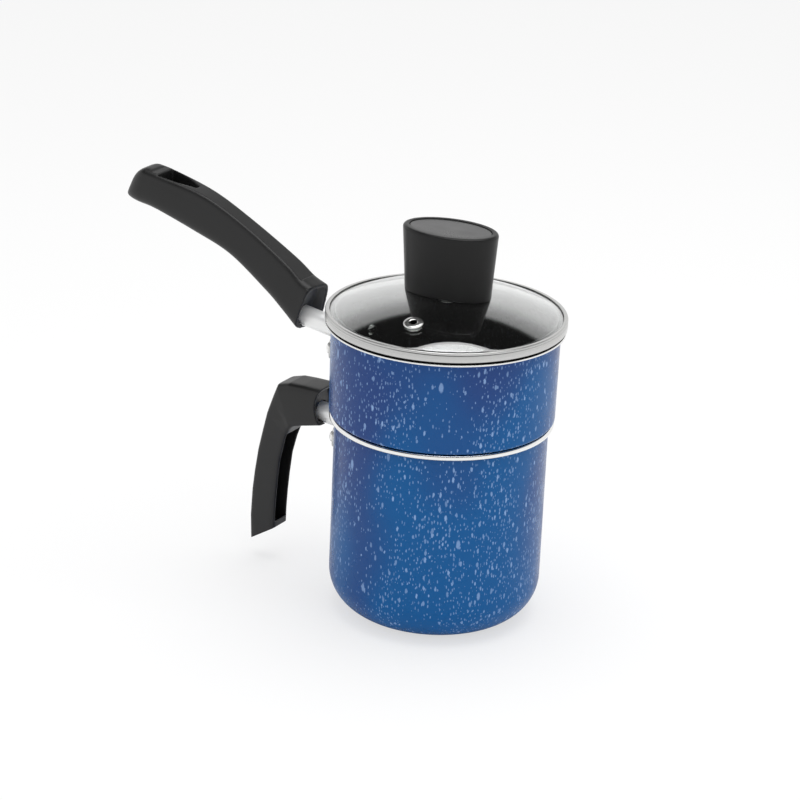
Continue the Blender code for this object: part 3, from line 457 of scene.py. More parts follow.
def vessel_outline():
    """Closed outline, from the flange down the outside to the ledge and up the inside."""
    top, sheet, foot = VESSEL_HEIGHT, VESSEL_WALL, -SPIGOT_DEPTH
    wall_foot = VESSEL_RADIUS - VESSEL_DRAFT
    bend_x, bend_z = VESSEL_RADIUS - sheet + FLANGE_BEND, top - FLANGE_BEND
    inner_foot, inner_corner = wall_foot - sheet, VESSEL_CORNER - sheet
    return trace(
        (FLANGE_RADIUS - EDGE_ROUND, top - EDGE_ROUND, EDGE_ROUND, 90, 0, 4),
        (FLANGE_RADIUS - EDGE_ROUND, top - sheet + EDGE_ROUND, EDGE_ROUND, 0, -90, 4),
        (bend_x, bend_z, FLANGE_BEND - sheet, 90, 180, 8),
        (wall_foot - VESSEL_CORNER, VESSEL_CORNER, VESSEL_CORNER, 0, -90, 12),
        (SPIGOT_RADIUS + EDGE_ROUND, 0), (SPIGOT_RADIUS, -EDGE_ROUND),
        (SPIGOT_RADIUS - SPIGOT_ROUND, foot + SPIGOT_ROUND, SPIGOT_ROUND, 0, -90, 8),
        (SPIGOT_RADIUS - LEDGE_WIDTH, foot + sheet / 2, sheet / 2, -90, -270, 8),
        (SPIGOT_RADIUS - SPIGOT_ROUND, foot + SPIGOT_ROUND, SPIGOT_ROUND - sheet, -90, 0, 5),
        (SPIGOT_RADIUS - sheet, sheet),
        (inner_foot - inner_corner, sheet + inner_corner, inner_corner, -90, 0, 6),
        (bend_x, bend_z, FLANGE_BEND, 180, 90, 10),
    )


def vessel_finish(radius, height, outward, upward):
    """Enamel outside, lining inside, a bare flange and a bare spigot."""
    flange = (height > VESSEL_HEIGHT - 0.3 * FLANGE_BEND) & (radius > VESSEL_RADIUS + 0.2 * FLANGE_BEND)
    spigot = (height < HAIR) & (radius < SPIGOT_RADIUS + LOOSE_GAP)
    spigot &= (outward > SIDEWAYS) | (upward < -SIDEWAYS)
    inside = ((outward < -SIDEWAYS) | (upward > SIDEWAYS)) & (radius < VESSEL_RADIUS + FLANGE_BEND)
    return np.select([flange, spigot, inside], [2, 3, 1], 0)


upper_vessel = turned("upper_vessel_shell", vessel_outline(), ENAMEL, closed=True)
vessel_place = Matrix.Translation((0, 0, VESSEL_SEAT))
repaint(upper_vessel, (ENAMEL, LINING, POLISHED, TURNED_METAL), vessel_finish, vessel_place)
stand_for(upper_vessel, "vessel", "speckled_enamel", "upper_vessel")

# Perforated plate. A thin aluminium disc that lies loose on the vessel's ledge and holds the couscous.
# Its holes are punched in a hexagonal pattern.
PLATE_THICKNESS = 0.0010
PLATE_RADIUS = SPIGOT_RADIUS - VESSEL_WALL - LOOSE_GAP
PLATE_FOOT = VESSEL_SEAT - SPIGOT_DEPTH + VESSEL_WALL + GAP
HOLE_RADIUS = 0.0018
HOLE_PITCH = 0.0120
HOLE_RINGS = 4


def punching_tree():
    """A disc with a hole round each point, filled flat and given its thickness."""
    measures = {"Disc radius": "Float", "Hole radius": "Float", "Thickness": "Float"}
    tree, given = new_tree("punched_disc", {"Holes": "Geometry", **measures, "Finish": "Material"})
    rim, hole = (
        tree.node("GeometryNodeCurvePrimitiveCircle", {}, {"Resolution": steps, "Radius": given[label]})
        for steps, label in ((TURN_STEPS, "Disc radius"), (24, "Hole radius"))
    )
    holes = tree.node("GeometryNodeInstanceOnPoints", {}, {"Points": given["Holes"], "Instance": hole})
    real = tree.node("GeometryNodeRealizeInstances", {}, {0: holes})
    outlines = tree.node("GeometryNodeJoinGeometry", {}, {0: [rim, real]})
    top = tree.node("GeometryNodeFillCurve", {"mode": "TRIANGLES"}, {0: outlines})
    lift = {0: top, "Offset": (0, 0, 1), "Offset Scale": given["Thickness"], "Individual": False}
    raised = tree.node("GeometryNodeExtrudeMesh", {"mode": "FACES"}, lift)
    under = tree.node("GeometryNodeFlipFaces", {}, {0: top})
    both = tree.node("GeometryNodeJoinGeometry", {}, {0: [raised, under]})
    end_tree(tree, tree.node("GeometryNodeMergeByDistance", {}, {0: both, "Distance": WELD}), given["Finish"])
    return tree.tree


def hole_centres():
    """One hole in the middle and six more in each further ring."""
    centres = [(0, 0, 0)]
    for ring in range(1, HOLE_RINGS + 1):
        first = Vector((ring * HOLE_PITCH, 0, 0))
        corners = [first @ Matrix.Rotation(math.tau * side / 6, 3, "Z") for side in range(7)]
        for corner, following in zip(corners, corners[1:]):
            centres += [tuple(corner.lerp(following, step / ring)) for step in range(ring)]
    return centres


plate_holes = bpy.data.meshes.new("plate_holes")
plate_holes.from_pydata(hole_centres(), [], [])
plate = run_tree(
    "perforated_plate_disc", punching_tree(), plate_holes, Matrix.Translation((0, 0, PLATE_FOOT)),
    Disc_radius=PLATE_RADIUS, Hole_radius=HOLE_RADIUS, Thickness=PLATE_THICKNESS,
    Finish=bright_metal("rolled_aluminium", steel(0.80), 0.3, 0.000008, 0.0014, stretch=(0.06, 1, 1)),
)
stand_for(plate, "plate", "bare_aluminium", "perforated_plate")

# Lid glass. A shallow dome of clear tempered glass with a bore in the middle and one for the vent.
# Its edge is held in the folded steel band.
LID_TURN = Matrix.Rotation(math.radians(6), 4, "Z")
LID_PLACE = Matrix.Translation((0, 0, VESSEL_SEAT + VESSEL_HEIGHT + GAP)) @ LID_TURN
BAND_RADIUS = 0.0736
BAND_HEIGHT = 0.0072
BAND_SHEET = 0.0005
BAND_LIP = 0.0026
GLASS_THICKNESS = 0.0036
GLASS_BORE = 0.0040
GLASS_PLAY = 0.0004
GROUND_WIDTH = 0.0012
GROUND_ROUND = 0.0003
DOME_RISE = 0.0146
LIP_INNER = BAND_RADIUS - BAND_LIP
GLASS_TOP_EDGE = BAND_HEIGHT - BAND_SHEET - GAP
DOME_RADIUS = (LIP_INNER**2 + DOME_RISE**2) / (2 * DOME_RISE)
DOME_TOP = GLASS_TOP_EDGE + DOME_RISE
VENT_DISTANCE = 0.0490
VENT_SLEEVE = 0.0036


def dome_height(distance, depth=0.0):
    """Height of the glass above the band's underside, at a distance from the lid's axis."""
    return DOME_TOP - DOME_RADIUS + math.sqrt((DOME_RADIUS - depth) ** 2 - distance**2)


def glass_outline():
    """Out along the top, round the ground edge and back along the underside."""
    edge = BAND_RADIUS - BAND_SHEET - GLASS_PLAY
    stops = np.linspace(GLASS_BORE, edge - GROUND_WIDTH, 26)
    top = [(x, dome_height(x)) for x in stops]
    under = [(x, dome_height(x, GLASS_THICKNESS)) for x in stops]
    low, high = under[-1][1] + 0.0006, top[-1][1] - 0.0008
    ground = [(edge - GLASS_PLAY, high + GROUND_ROUND), (edge, high - GROUND_ROUND)]
    ground += [(edge, low + GROUND_ROUND), (edge - GLASS_PLAY, low)]
    return top + ground + under[::-1]


def solid(name, work):
    """A new object from a finished bmesh."""
    mesh = bpy.data.meshes.new(name)
    work.to_mesh(mesh)
    work.free()
    return put(name, mesh)


def stood(direction):
    """The turn that lays Z along a direction."""
    return direction.to_track_quat("Z", "Y").to_matrix().to_4x4()


def cylinder(name, radius, start, end, steps=48):
    """A plain round bar between two points, used as a cutter."""
    work, axis = bmesh.new(), end - start
    round_ends = {"segments": steps, "radius1": radius, "radius2": radius}
    bmesh.ops.create_cone(work, cap_ends=True, depth=axis.length, **round_ends)
    thing = solid(name, work)
    thing.data.transform(Matrix.Translation((start + end) / 2) @ stood(axis))
    return thing


def cut(thing, *cutters, operation="DIFFERENCE"):
    """Cuts shapes out of a piece, or joins them to it, and removes them."""
    for cutter in cutters:
        boolean = thing.modifiers.new(cutter.name, "BOOLEAN")
        boolean.operation = operation
        boolean.object = cutter
        boolean.solver = "EXACT"
    settle(thing)
    for cutter in cutters:
        bpy.data.objects.remove(cutter)


clear_glass = Finish(
    "clear_tempered_glass", Base_Color=(0.93, 0.965, 0.95, 1), Roughness=0.0, IOR=1.7,
    Transmission_Weight=1.0, Coat_Weight=1.0, Coat_IOR=2.0,
)
lid_glass = turned("lid_glass_dome", glass_outline(), clear_glass.material, closed=True)
vent_lean = math.asin(VENT_DISTANCE / DOME_RADIUS)
vent_spot = (0, -VENT_DISTANCE, dome_height(VENT_DISTANCE))
VENT_PLACE = Matrix.Translation(vent_spot) @ Matrix.Rotation(vent_lean, 4, "X")
bore_ends = (VENT_PLACE @ Vector((0, 0, height)) for height in (-2 * GLASS_THICKNESS, GLASS_THICKNESS))
vent_bore = cylinder("vent_bore", VENT_SLEEVE + GAP, *bore_ends)
cut(lid_glass, vent_bore)
lid_glass.data.transform(LID_PLACE)
stand_for(lid_glass, "lid", "tempered_glass", "lid_glass")

# Lid band. Thin satin stainless steel, rolled over the glass as a lip with a bead, and down to the flange.
# Its folded skirt drops inside the vessel and keeps the lid in place.
BAND_BEAD = 0.0006
# Where the wall draws in under the bead, inwards and down from its outer edge, in bead radii
BAND_NECK = ((0.8, 2.1), (0.6, 2.6), (0.1, 3.1), (0, 3.6))
SEAM_HEIGHT = 0.0010
SEAM_DEPTH = 0.0014
SKIRT_DEPTH = 0.0032
SKIRT_FOLD = 0.0012


def thick_path(path, sheet):
    """The closed outline of a sheet bent along a path, half its thickness to each side."""
    points = np.array(path)
    steps = np.diff(points, axis=0)
    steps /= np.linalg.norm(steps, axis=1, keepdims=True)
    before, after = np.vstack([steps[:1], steps]), np.vstack([steps, steps[-1:]])
    side = before + after
    side /= np.linalg.norm(side, axis=1, keepdims=True)
    side = np.column_stack([-side[:, 1], side[:, 0]])
    square = np.column_stack([-after[:, 1], after[:, 0]])
    reach = sheet / 2 / np.maximum((side * square).sum(1), 0.5)[:, None]
    return [tuple(p) for p in np.vstack([points + side * reach, (points - side * reach)[::-1]])]


def band_path():
    """The middle of the sheet, from the lip over the bead, down the wall and into the skirt."""
    half, fold = BAND_SHEET / 2, SKIRT_FOLD / 2
    wall, lip = BAND_RADIUS - half, BAND_HEIGHT - half
    skirt = VESSEL_RADIUS - VESSEL_WALL - LOOSE_GAP - half
    tail_x = skirt - SKIRT_FOLD
    return trace(
        (LIP_INNER, lip), (LIP_INNER + 0.0009, lip),
        (wall - BAND_BEAD, lip - BAND_BEAD, BAND_BEAD, 90, -50, 10),
        *((wall - inward * BAND_BEAD, lip - down * BAND_BEAD) for inward, down in BAND_NECK),
        (wall - BAND_BEAD, SEAM_HEIGHT + half + BAND_BEAD, BAND_BEAD, 0, -90, 5),
        (wall - SEAM_DEPTH + half, SEAM_HEIGHT, half, 90, 180, 3),
        (wall - SEAM_DEPTH - half, 2 * half, half, 0, -90, 3),
        (skirt + BAND_BEAD, half - BAND_BEAD, BAND_BEAD, 90, 180, 4),
        (skirt - fold, fold - SKIRT_DEPTH, fold, 0, -180, 8),
        (tail_x, dome_height(tail_x, GLASS_THICKNESS) - 0.0006),
    )


def band_finish(radius, height, outward, upward):
    """Satin, but for the narrow folds under the bead and at the foot, which are painted near-black as painted
    shade.
    """
    # Painted shade in the groove under the bead and in the recess at the foot.
    groove = (height > BAND_HEIGHT - 3.2 * BAND_BEAD) & (height < BAND_HEIGHT - 1.2 * BAND_BEAD)
    groove &= (radius < BAND_RADIUS - 0.45 * BAND_BEAD) & (outward > 0)
    foot = (height < SEAM_HEIGHT + BAND_SHEET / 2) & (radius < BAND_RADIUS - BAND_BEAD)
    return np.select([groove | foot], [1], 0)


SATIN = bright_metal("satin_stainless", steel(0.55), 0.26, 0.000004, 0.0005, turned=True)
lid_band = turned("lid_band_ring", thick_path(band_path(), BAND_SHEET), SATIN, closed=True)
repaint(lid_band, (SATIN, PAINTED_SHADE), band_finish, LID_PLACE)
stand_for(lid_band, "lid", "stainless", "lid_band")

# Steam vent. A polished eyelet set through the glass, its flanges rolled over above and below.
VENT_FLANGE = 0.0060
VENT_HOLE = 0.0021
VENT_LIP = 0.0009
SMALL_STEPS = 64


def vent_outline():
    """Closed outline, down the outside of both flanges and up the hole."""
    under, lift = -GLASS_THICKNESS - GAP, GAP + 0.3 * VENT_LIP
    shoulder, mouth = VENT_FLANGE - VENT_LIP, VENT_HOLE + VENT_LIP
    return trace(
        (mouth, lift, VENT_LIP, 180, 90, 8), (shoulder, lift, VENT_LIP, 75, -15, 8),
        (VENT_FLANGE - 0.0002, GAP), (VENT_SLEEVE, GAP), (VENT_SLEEVE, under), (shoulder, under),
        (shoulder - VENT_LIP, under, VENT_LIP * 0.9, 0, -90, 6), (mouth, under, VENT_LIP * 0.9, -90, -180, 6),
    )


def vent_finish(radius, height, outward, upward):
    """Polished, but for the bore, which is painted near-black as painted shade."""
    return np.select([(radius < VENT_HOLE + 0.4 * VENT_LIP) & (outward < -0.4)], [1], 0)


EYELET = bright_metal("polished_eyelet", steel(0.84), 0.19)
vent = turned("steam_vent_ring", vent_outline(), EYELET, closed=True, steps=SMALL_STEPS)
repaint(vent, (EYELET, PAINTED_SHADE), vent_finish, LID_PLACE @ VENT_PLACE)
stand_for(vent, "lid", "stainless", "steam_vent_eyelet")

# Knob. A hollow oval moulding in satin black phenolic that widens upwards, seated on the glass.
# A grey oval cap lies sunk in its top with a fine groove round it.
KNOB_HEIGHT = 0.0390
KNOB_TOP_LENGTH = 0.0606
KNOB_TOP_WIDTH = 0.0402
KNOB_TAPER = 0.0054
KNOB_ROUND = 0.0020
KNOB_SHELL = 0.0032
KNOB_FOOT = 0.0004
KNOB_STEPS = 144
CAP_MARGIN = 0.0040
CAP_THICKNESS = 0.0024
CAP_SINK = 0.0005
INSERT_RADIUS = 0.0040
INSERT_LENGTH = 0.0110
CAP_ROUND = 0.0004
# How far the cap's top rises, and how far inwards, from each of its rings to the next
CAP_CROWN, CAP_STEP = 0.00004, 0.0028
SKIN_FOLD = math.radians(34)
KNOB_SEAT = DOME_TOP + HAIR / 2
KNOB_TOP = KNOB_SEAT + KNOB_HEIGHT
RECESS_FLOOR = KNOB_TOP - CAP_SINK - CAP_THICKNESS - GAP
INSERT_FOOT = KNOB_SEAT + GAP


def loft(name, rings, finish, place=Matrix()):
    """A closed skin over rings of equally many points, with a fan over each end."""
    work = bmesh.new()
    rows = [[work.verts.new(point) for point in ring] for ring in rings]
    nexts = [*range(1, len(rings[0])), 0]
    for row, following in zip(rows, rows[1:]):
        for i, j in enumerate(nexts):
            work.faces.new((row[i], row[j], following[j], following[i]))
    for row in (rows[0], rows[-1]):
        middle = work.verts.new(sum((v.co for v in row), Vector()) / len(row))
        for i, j in enumerate(nexts):
            work.faces.new((row[i], row[j], middle))
    bmesh.ops.recalc_face_normals(work, faces=work.faces)
    thing = solid(name, work)
    thing.data.shade_smooth()
    thing.data.set_sharp_from_angle(angle=SKIN_FOLD)
    thing.data.materials.append(finish)
    thing.data.transform(place)
    return thing


def knob_ring(height, inset=0.0, on_dome=False):
    """An oval around the knob's tapered side, moved in by inset. On the dome it follows the glass."""
    share = min(max((height - KNOB_SEAT) / KNOB_HEIGHT, 0), 1)
    half_length, half_width = (
        (size - KNOB_TAPER * (1 - share)) / 2 - inset for size in (KNOB_TOP_LENGTH, KNOB_TOP_WIDTH)
    )
    ring = []
    for angle in np.linspace(0, math.tau, KNOB_STEPS, endpoint=False):
        x, y = half_length * math.cos(angle), half_width * math.sin(angle)
        z = dome_height(math.hypot(x, y)) + height - DOME_TOP if on_dome else height
        ring.append(Vector((x, y, z)))
    return ring


def round_ring(radius, height):
    angles = np.linspace(0, math.tau, KNOB_STEPS, endpoint=False)
    return [Vector((radius * math.cos(angle), radius * math.sin(angle), height)) for angle in angles]


def rounding(radius, start, end, steps):
    """How far in and how far down an edge's round lies, from its side at 0 degrees to its top at 90."""
    for angle in np.radians(np.linspace(start, end, steps)):
        yield radius * (1 - math.cos(angle)), radius * (1 - math.sin(angle))


def knob_rings():
    """From the floor of the cap's recess, over the lip, down the side and up into the hollow."""
    ceiling = RECESS_FLOOR - KNOB_SHELL
    boss, bore = INSERT_RADIUS + KNOB_SHELL, INSERT_RADIUS + GAP
    rings = [knob_ring(RECESS_FLOOR, CAP_MARGIN + KNOB_ROUND), knob_ring(RECESS_FLOOR, CAP_MARGIN)]
    rings += [knob_ring(KNOB_TOP - 0.0003, CAP_MARGIN), knob_ring(KNOB_TOP - 0.00008, CAP_MARGIN - 0.0001)]
    rings += [knob_ring(KNOB_TOP, CAP_MARGIN - 0.0004), knob_ring(KNOB_TOP, KNOB_ROUND * 1.2)]
    rings += [knob_ring(KNOB_TOP - down, inward) for inward, down in rounding(KNOB_ROUND, 90, 0, 11)]
    rings += [knob_ring(KNOB_SEAT + KNOB_HEIGHT * share, 0) for share in (0.85, 0.7, 0.55, 0.4, 0.25)]
    rings += [knob_ring(KNOB_SEAT + down, inward, True) for inward, down in rounding(KNOB_FOOT, 0, 80, 6)]
    rings += [knob_ring(KNOB_SEAT, KNOB_SHELL, True), knob_ring(ceiling, KNOB_SHELL + KNOB_TAPER / 2)]
    rings += [round_ring(boss, ceiling), round_ring(boss, KNOB_SEAT), round_ring(bore, KNOB_SEAT)]
    rings += [round_ring(bore, INSERT_FOOT + INSERT_LENGTH + GAP)]
    return rings


def phenolic(name, tint, rough, gloss=0.25):
    """Moulded phenolic: a fine even grain over slight waves, a little shinier where it is handled."""
    finish = Finish(name, Specular_IOR_Level=gloss)
    grain = finish.noise(2400.0, 2.0)
    worn = finish.noise(45.0, 2.0).within(0.35, 0.65)
    rubbed = colour(tint + 4, tint + 4, tint + 5)
    finish.set(Roughness=rough + worn * 0.06 + grain * 0.05 - 0.05)
    finish.set(Base_Color=finish.mix(worn * 0.5, colour(tint, tint, tint), rubbed))
    finish.bump(finish.noise(60.0, 1.0) * 8.0 + grain, 0.00003, 0.35)
    return finish.material


PHENOLIC = phenolic("moulded_phenolic", 23, 0.36)
knob_body = loft("knob_moulding", knob_rings(), PHENOLIC, LID_PLACE)
stand_for(knob_body, "lid", "black_phenolic", "knob_body")


def cap_rings():
    """An oval plug with rounded edges and a top that is very slightly crowned."""
    margin, top = CAP_MARGIN + GAP, KNOB_TOP - CAP_SINK
    inner = margin + CAP_ROUND
    rings = [knob_ring(top - CAP_THICKNESS, inner)]
    rings += [knob_ring(top - down, margin + inward) for inward, down in rounding(CAP_ROUND, 0, 90, 7)]
    rings += [knob_ring(top + CAP_CROWN * step, inner + CAP_STEP * step) for step in range(1, 6)]
    return rings


knob_cap = loft("knob_cap_oval", cap_rings(), phenolic("satin_grey_moulding", 50, 0.3, 0.5), LID_PLACE)
stand_for(knob_cap, "lid", "grey_cap", "knob_cap")

# Knob fixing. A brass insert in the knob's boss takes a zinc-plated pan-head screw from below the glass.
# A steel washer and a silicone gasket spread its pull on the glass.
SCREW_RADIUS = 0.0022
SCREW_HEAD = 0.0046
SCREW_HEAD_HEIGHT = 0.0026
GASKET_RADIUS = 0.0084
GASKET_THICKNESS = 0.0014
GASKET_DROP = 0.0009
WASHER_RADIUS = 0.0090
WASHER_THICKNESS = 0.0010
WASHER_TOP = DOME_TOP - GLASS_THICKNESS - GASKET_DROP - GASKET_THICKNESS
WASHER_FOOT = WASHER_TOP - WASHER_THICKNESS
GASKET_FOOT = WASHER_TOP + GAP
HEAD_RIM = 0.35


def washer(name, inner, outer, low, high, finish, soft):
    """A flat ring with rounded edges."""
    outside, inside, top, foot = outer - soft, inner + soft, high - soft, low + soft
    corners = ((outside, top, 90), (outside, foot, 0), (inside, foot, -90), (inside, top, 180))
    points = trace(*((x, z, soft, start, start - 90, 3) for x, z, start in corners))
    return turned(name, points, finish, LID_PLACE, closed=True, steps=SMALL_STEPS)


silicone = Finish("grey_silicone", Base_Color=colour(168, 168, 166), Roughness=0.6)
silicone.bump(silicone.noise(1500.0), 0.00003, 0.4)
brass = bright_metal("turned_brass", (0.72, 0.52, 0.22, 1), 0.3, 0.000006, 0.0006, turned=True)
ZINC = bright_metal("zinc_plated_steel", steel(0.6), 0.34, 0.00001, 0.0007)
bore = SCREW_RADIUS + GAP
gasket_top = GASKET_FOOT + GASKET_THICKNESS
gasket = washer("silicone_gasket", bore, GASKET_RADIUS, GASKET_FOOT, gasket_top, silicone.material, 0.0003)
stand_for(gasket, "lid", "silicone", "knob_gasket")
steel_washer = washer("steel_washer", bore, WASHER_RADIUS, WASHER_FOOT, WASHER_TOP, SATIN, 0.0002)
stand_for(steel_washer, "lid", "stainless", "knob_washer")
insert = washer("brass_insert", bore, INSERT_RADIUS, INSERT_FOOT, INSERT_FOOT + INSERT_LENGTH, brass, 0.0003)
stand_for(insert, "lid", "brass", "knob_insert")


def turned_part(tree, given, steps):
    """The outline turned, as a part of another tree."""
    turning = {"Outline": given["Outline"], "Steps": steps, "Finish": given["Finish"]}
    return tree.node("GeometryNodeGroup", {"node_tree": TURNING}, turning)


def screw_tree():
    """A pan-head screw standing on its head: the outline turned, and a cross sunk into the head."""
    measures = {"Head radius": "Float", "Head height": "Float"}
    tree, given = new_tree("pan_head_screw", {"Outline": "Geometry", **measures, "Finish": "Material"})
    body = turned_part(tree, given, SMALL_STEPS)
    head, height = given["Head radius"], given["Head height"]
    arms = []
    for turn in (0, math.pi / 2):
        size = tree.vector(head * 1.15, head * 0.24, height * 1.1)
        arm = tree.node("GeometryNodeMeshCube", {}, {"Size": size})
        lowered = {0: arm, "Translation": tree.vector(z=height * -1.0), "Rotation": (0, 0, turn)}
        arms.append(tree.node("GeometryNodeTransform", {}, lowered))
    exact = {"solver": "EXACT"}
    cross = tree.node("GeometryNodeMeshBoolean", {"operation": "UNION", **exact}, {1: arms})
    sunk = tree.node("GeometryNodeMeshBoolean", {"operation": "DIFFERENCE", **exact}, {0: body, 1: cross})
    end_tree(tree, sunk, given["Finish"])
    return tree.tree


SCREWS = screw_tree()


def screw(name, shank, head, head_height, length, place):
    """A screw with its head below 0 and its shank above."""
    points = [(0, length), (shank - EDGE_ROUND, length), (shank, length - EDGE_ROUND), (shank, 0.0)]
    points += [(head - 0.0002, 0.0), (head, -0.0002), (head, -HEAD_RIM * head_height)]
    for angle in np.radians((15, 30, 45, 60, 75)):
        drop = HEAD_RIM + (1 - HEAD_RIM) * math.sin(angle)
        points.append((head * math.cos(angle), -head_height * drop))
    points += [(0, -head_height)]
    measures = {"Head_radius": head, "Head_height": head_height, "Finish": ZINC}
    return run_tree(name, SCREWS, outline_mesh(points), place, **measures)


screw_place = LID_PLACE @ Matrix.Translation((0, 0, WASHER_FOOT - GAP))
screw_length = INSERT_FOOT + INSERT_LENGTH - WASHER_FOOT + GAP
knob_screw = screw("knob_pan_screw", SCREW_RADIUS, SCREW_HEAD, SCREW_HEAD_HEIGHT, screw_length, screw_place)
stand_for(knob_screw, "lid", "zinc_steel", "knob_screw")

# Handle mounts. A steel strap bent to the wall is held by two domed rivets, and a tang runs out from it.
# The tang goes through a chromed tube into the grip, where a screw from below holds it.
SADDLE_SHEET = 0.0015
SADDLE_HEIGHT = 0.0130
RIVET_ANGLE = math.radians(18)
RIVET_SINK = 0.0032
RIVET_SHANK = 0.0016
RIVET_HEAD = 0.0037
RIVET_DOME = 0.0022
RIVET_TAIL = 0.78 * RIVET_DOME
RIVET_STEPS = 48
FERRULE_RADIUS = 0.00635
FERRULE_WALL = 0.0008
FERRULE_ROUND = 0.0003
FERRULE_FOOT = 0.0040
TANG_WIDTH = 0.0070
TANG_THICKNESS = 0.0045
TANG_END = 0.0055
TANG_BEND = 0.0020
SCREW_FLOOR = 0.0036
GRIP_SCREW = (0.0020, 0.0036, 0.0022)
LONG_DROP = 0.0215
SHORT_DROP = 0.0206
HALF_TURN = Matrix.Rotation(math.pi, 4, "Z")
LONG_WALL = VESSEL_RADIUS - VESSEL_DRAFT * LONG_DROP / VESSEL_HEIGHT
LONG_PLACE = Matrix.Translation((-LONG_WALL, 0, VESSEL_SEAT + VESSEL_HEIGHT - LONG_DROP)) @ HALF_TURN
SHORT_PLACE = Matrix.Translation((-POT_RADIUS, 0, POT_HEIGHT - SHORT_DROP)) @ HALF_TURN
CHROME = bright_metal("chrome_plate", steel(0.95), 0.38, metal=0.4)


def square_to(along):
    """What is up from a direction in the XZ plane."""
    return Vector((-along.z, 0, along.x))


def heading(slope):
    """The direction of a slope in the XZ plane, and what is up from it."""
    along = Vector((math.cos(slope), 0, math.sin(slope)))
    return along, square_to(along)


def saddle_rings(radius):
    """The strap in slices across it, with half-round ends about its rivets."""
    half = SADDLE_HEIGHT / 2
    reach = radius * RIVET_ANGLE + half
    soft = 0.0003
    rings = []
    for along in -reach * np.cos(np.linspace(0, math.pi, 49)):
        past = max(abs(along) - radius * RIVET_ANGLE, 0)
        tall = max(math.sqrt(max(half**2 - past**2, 0)), 0.08 * half)
        angle = along / radius
        ring = []
        for distance, height in (
            (0, -tall), (0, tall), (SADDLE_SHEET - soft, tall), (SADDLE_SHEET, tall - soft),
            (SADDLE_SHEET, soft - tall), (SADDLE_SHEET - soft, -tall),
        ):
            r = radius + GAP + distance
            ring.append(Vector((r * math.cos(angle) - radius, r * math.sin(angle), height - RIVET_SINK)))
        rings.append(ring)
    return rings


def tang_path(tilt, ferrule_length, tang_length, tang_slope):
    """Points along the tang, in the XZ plane: the wall, the bend, just past it, and the end."""
    out, _ = heading(tilt)
    bend = out * (ferrule_length - TANG_BEND)
    end = bend + heading(tang_slope)[0] * tang_length
    middle = bend + (out + (end - bend).normalized()) * TANG_THICKNESS / 3
    return [out * (GAP + SADDLE_SHEET / 2), bend, middle, end]


def oblong(high, low, side):
    return [high + side, high - side, low - side, low + side]


def bar(name, path, width, thickness, finish):
    """An oblong bar square to its path."""
    rings = []
    for index, centre in enumerate(path):
        along = (path[min(index + 1, len(path) - 1)] - path[max(index - 1, 0)]).normalized()
        up = square_to(along) * thickness / 2
        rings.append(oblong(centre + up, centre - up, Vector((0, width / 2, 0))))
    return loft(name, rings, finish)


def riveting_tree():
    """Two rivets beside each other in a round wall, each the turned outline with its head outwards."""
    measures = {"Wall radius": "Float", "Half angle": "Float", "Height": "Float"}
    tree, given = new_tree("rivet_pair", {"Outline": "Geometry", **measures, "Finish": "Material"})
    rivet = turned_part(tree, given, RIVET_STEPS)
    pair = tree.node("GeometryNodeMeshLine", {}, {"Count": 2})
    angle = (tree.node("GeometryNodeInputIndex") * 2.0 - 1.0) * given["Half angle"]
    wall = given["Wall radius"]
    place = tree.vector(wall * angle.math("COSINE"), wall * angle.math("SINE"), given["Height"])
    points = tree.node("GeometryNodeSetPosition", {}, {0: pair, "Position": place})
    riveted = {"Points": points, "Instance": rivet, "Rotation": tree.vector(y=math.pi / 2, z=angle)}
    end_tree(tree, tree.node("GeometryNodeInstanceOnPoints", {}, riveted), given["Finish"])
    return tree.tree


RIVETING = riveting_tree()


def rivet_outline(grip):
    """A dome outside, a shank through strap and wall, and a lower dome inside."""
    inner = -grip - GAP
    tilts = np.radians(np.linspace(0, 84, 10))
    points = [(RIVET_HEAD * math.sin(a), GAP + RIVET_DOME * math.cos(a)) for a in tilts]
    points += [(RIVET_HEAD, GAP), (RIVET_SHANK, GAP), (RIVET_SHANK, inner), (RIVET_HEAD, inner)]
    points += [(RIVET_HEAD * math.sin(a), inner - RIVET_TAIL * math.cos(a)) for a in tilts[::-1]]
    return points


def handle_mount(prefix, body, radius, wall, tilt, ferrule_length, path, place):
    """The strap with its tang, the chromed tube and the two rivets of one handle."""
    strap = loft(prefix + "_strap", saddle_rings(radius), ZINC)
    cut(strap, bar(prefix + "_tang", path, TANG_WIDTH, TANG_THICKNESS, ZINC), operation="UNION")
    strap.data.transform(place)
    stand_for(strap, body, "zinc_steel", prefix + "_bracket")

    points = arc(FERRULE_RADIUS - FERRULE_ROUND, ferrule_length - FERRULE_ROUND, FERRULE_ROUND, 90, 0, 3)
    points += [(FERRULE_RADIUS, FERRULE_FOOT), (FERRULE_RADIUS, 0.0)]
    points += [(FERRULE_RADIUS - FERRULE_WALL, 0.0), (FERRULE_RADIUS - FERRULE_WALL, ferrule_length)]
    out, _ = heading(tilt)
    tube = turned(prefix + "_tube", points, CHROME, stood(out), closed=True, steps=SMALL_STEPS)
    face = radius + 2 * GAP + SADDLE_SHEET
    for vertex in tube.data.vertices:
        if vertex.co.dot(out) < FERRULE_FOOT / 2:
            x, y = vertex.co.x + radius, vertex.co.y
            reach = math.sqrt(face**2 - y**2) - x
            vertex.co += out * (reach / out.x)
    tube.data.transform(place)
    stand_for(tube, body, "chrome", prefix + "_ferrule")

    outline = outline_mesh(rivet_outline(wall + SADDLE_SHEET + GAP))
    rivets = run_tree(
        prefix + "_rivets", RIVETING, outline, place @ Matrix.Translation((-radius, 0, 0)),
        Wall_radius=radius + GAP + SADDLE_SHEET, Half_angle=RIVET_ANGLE, Height=-RIVET_SINK, Finish=EYELET,
    )
    stand_for(rivets, body, "stainless", prefix + "_rivet_1", prefix + "_rivet_2")


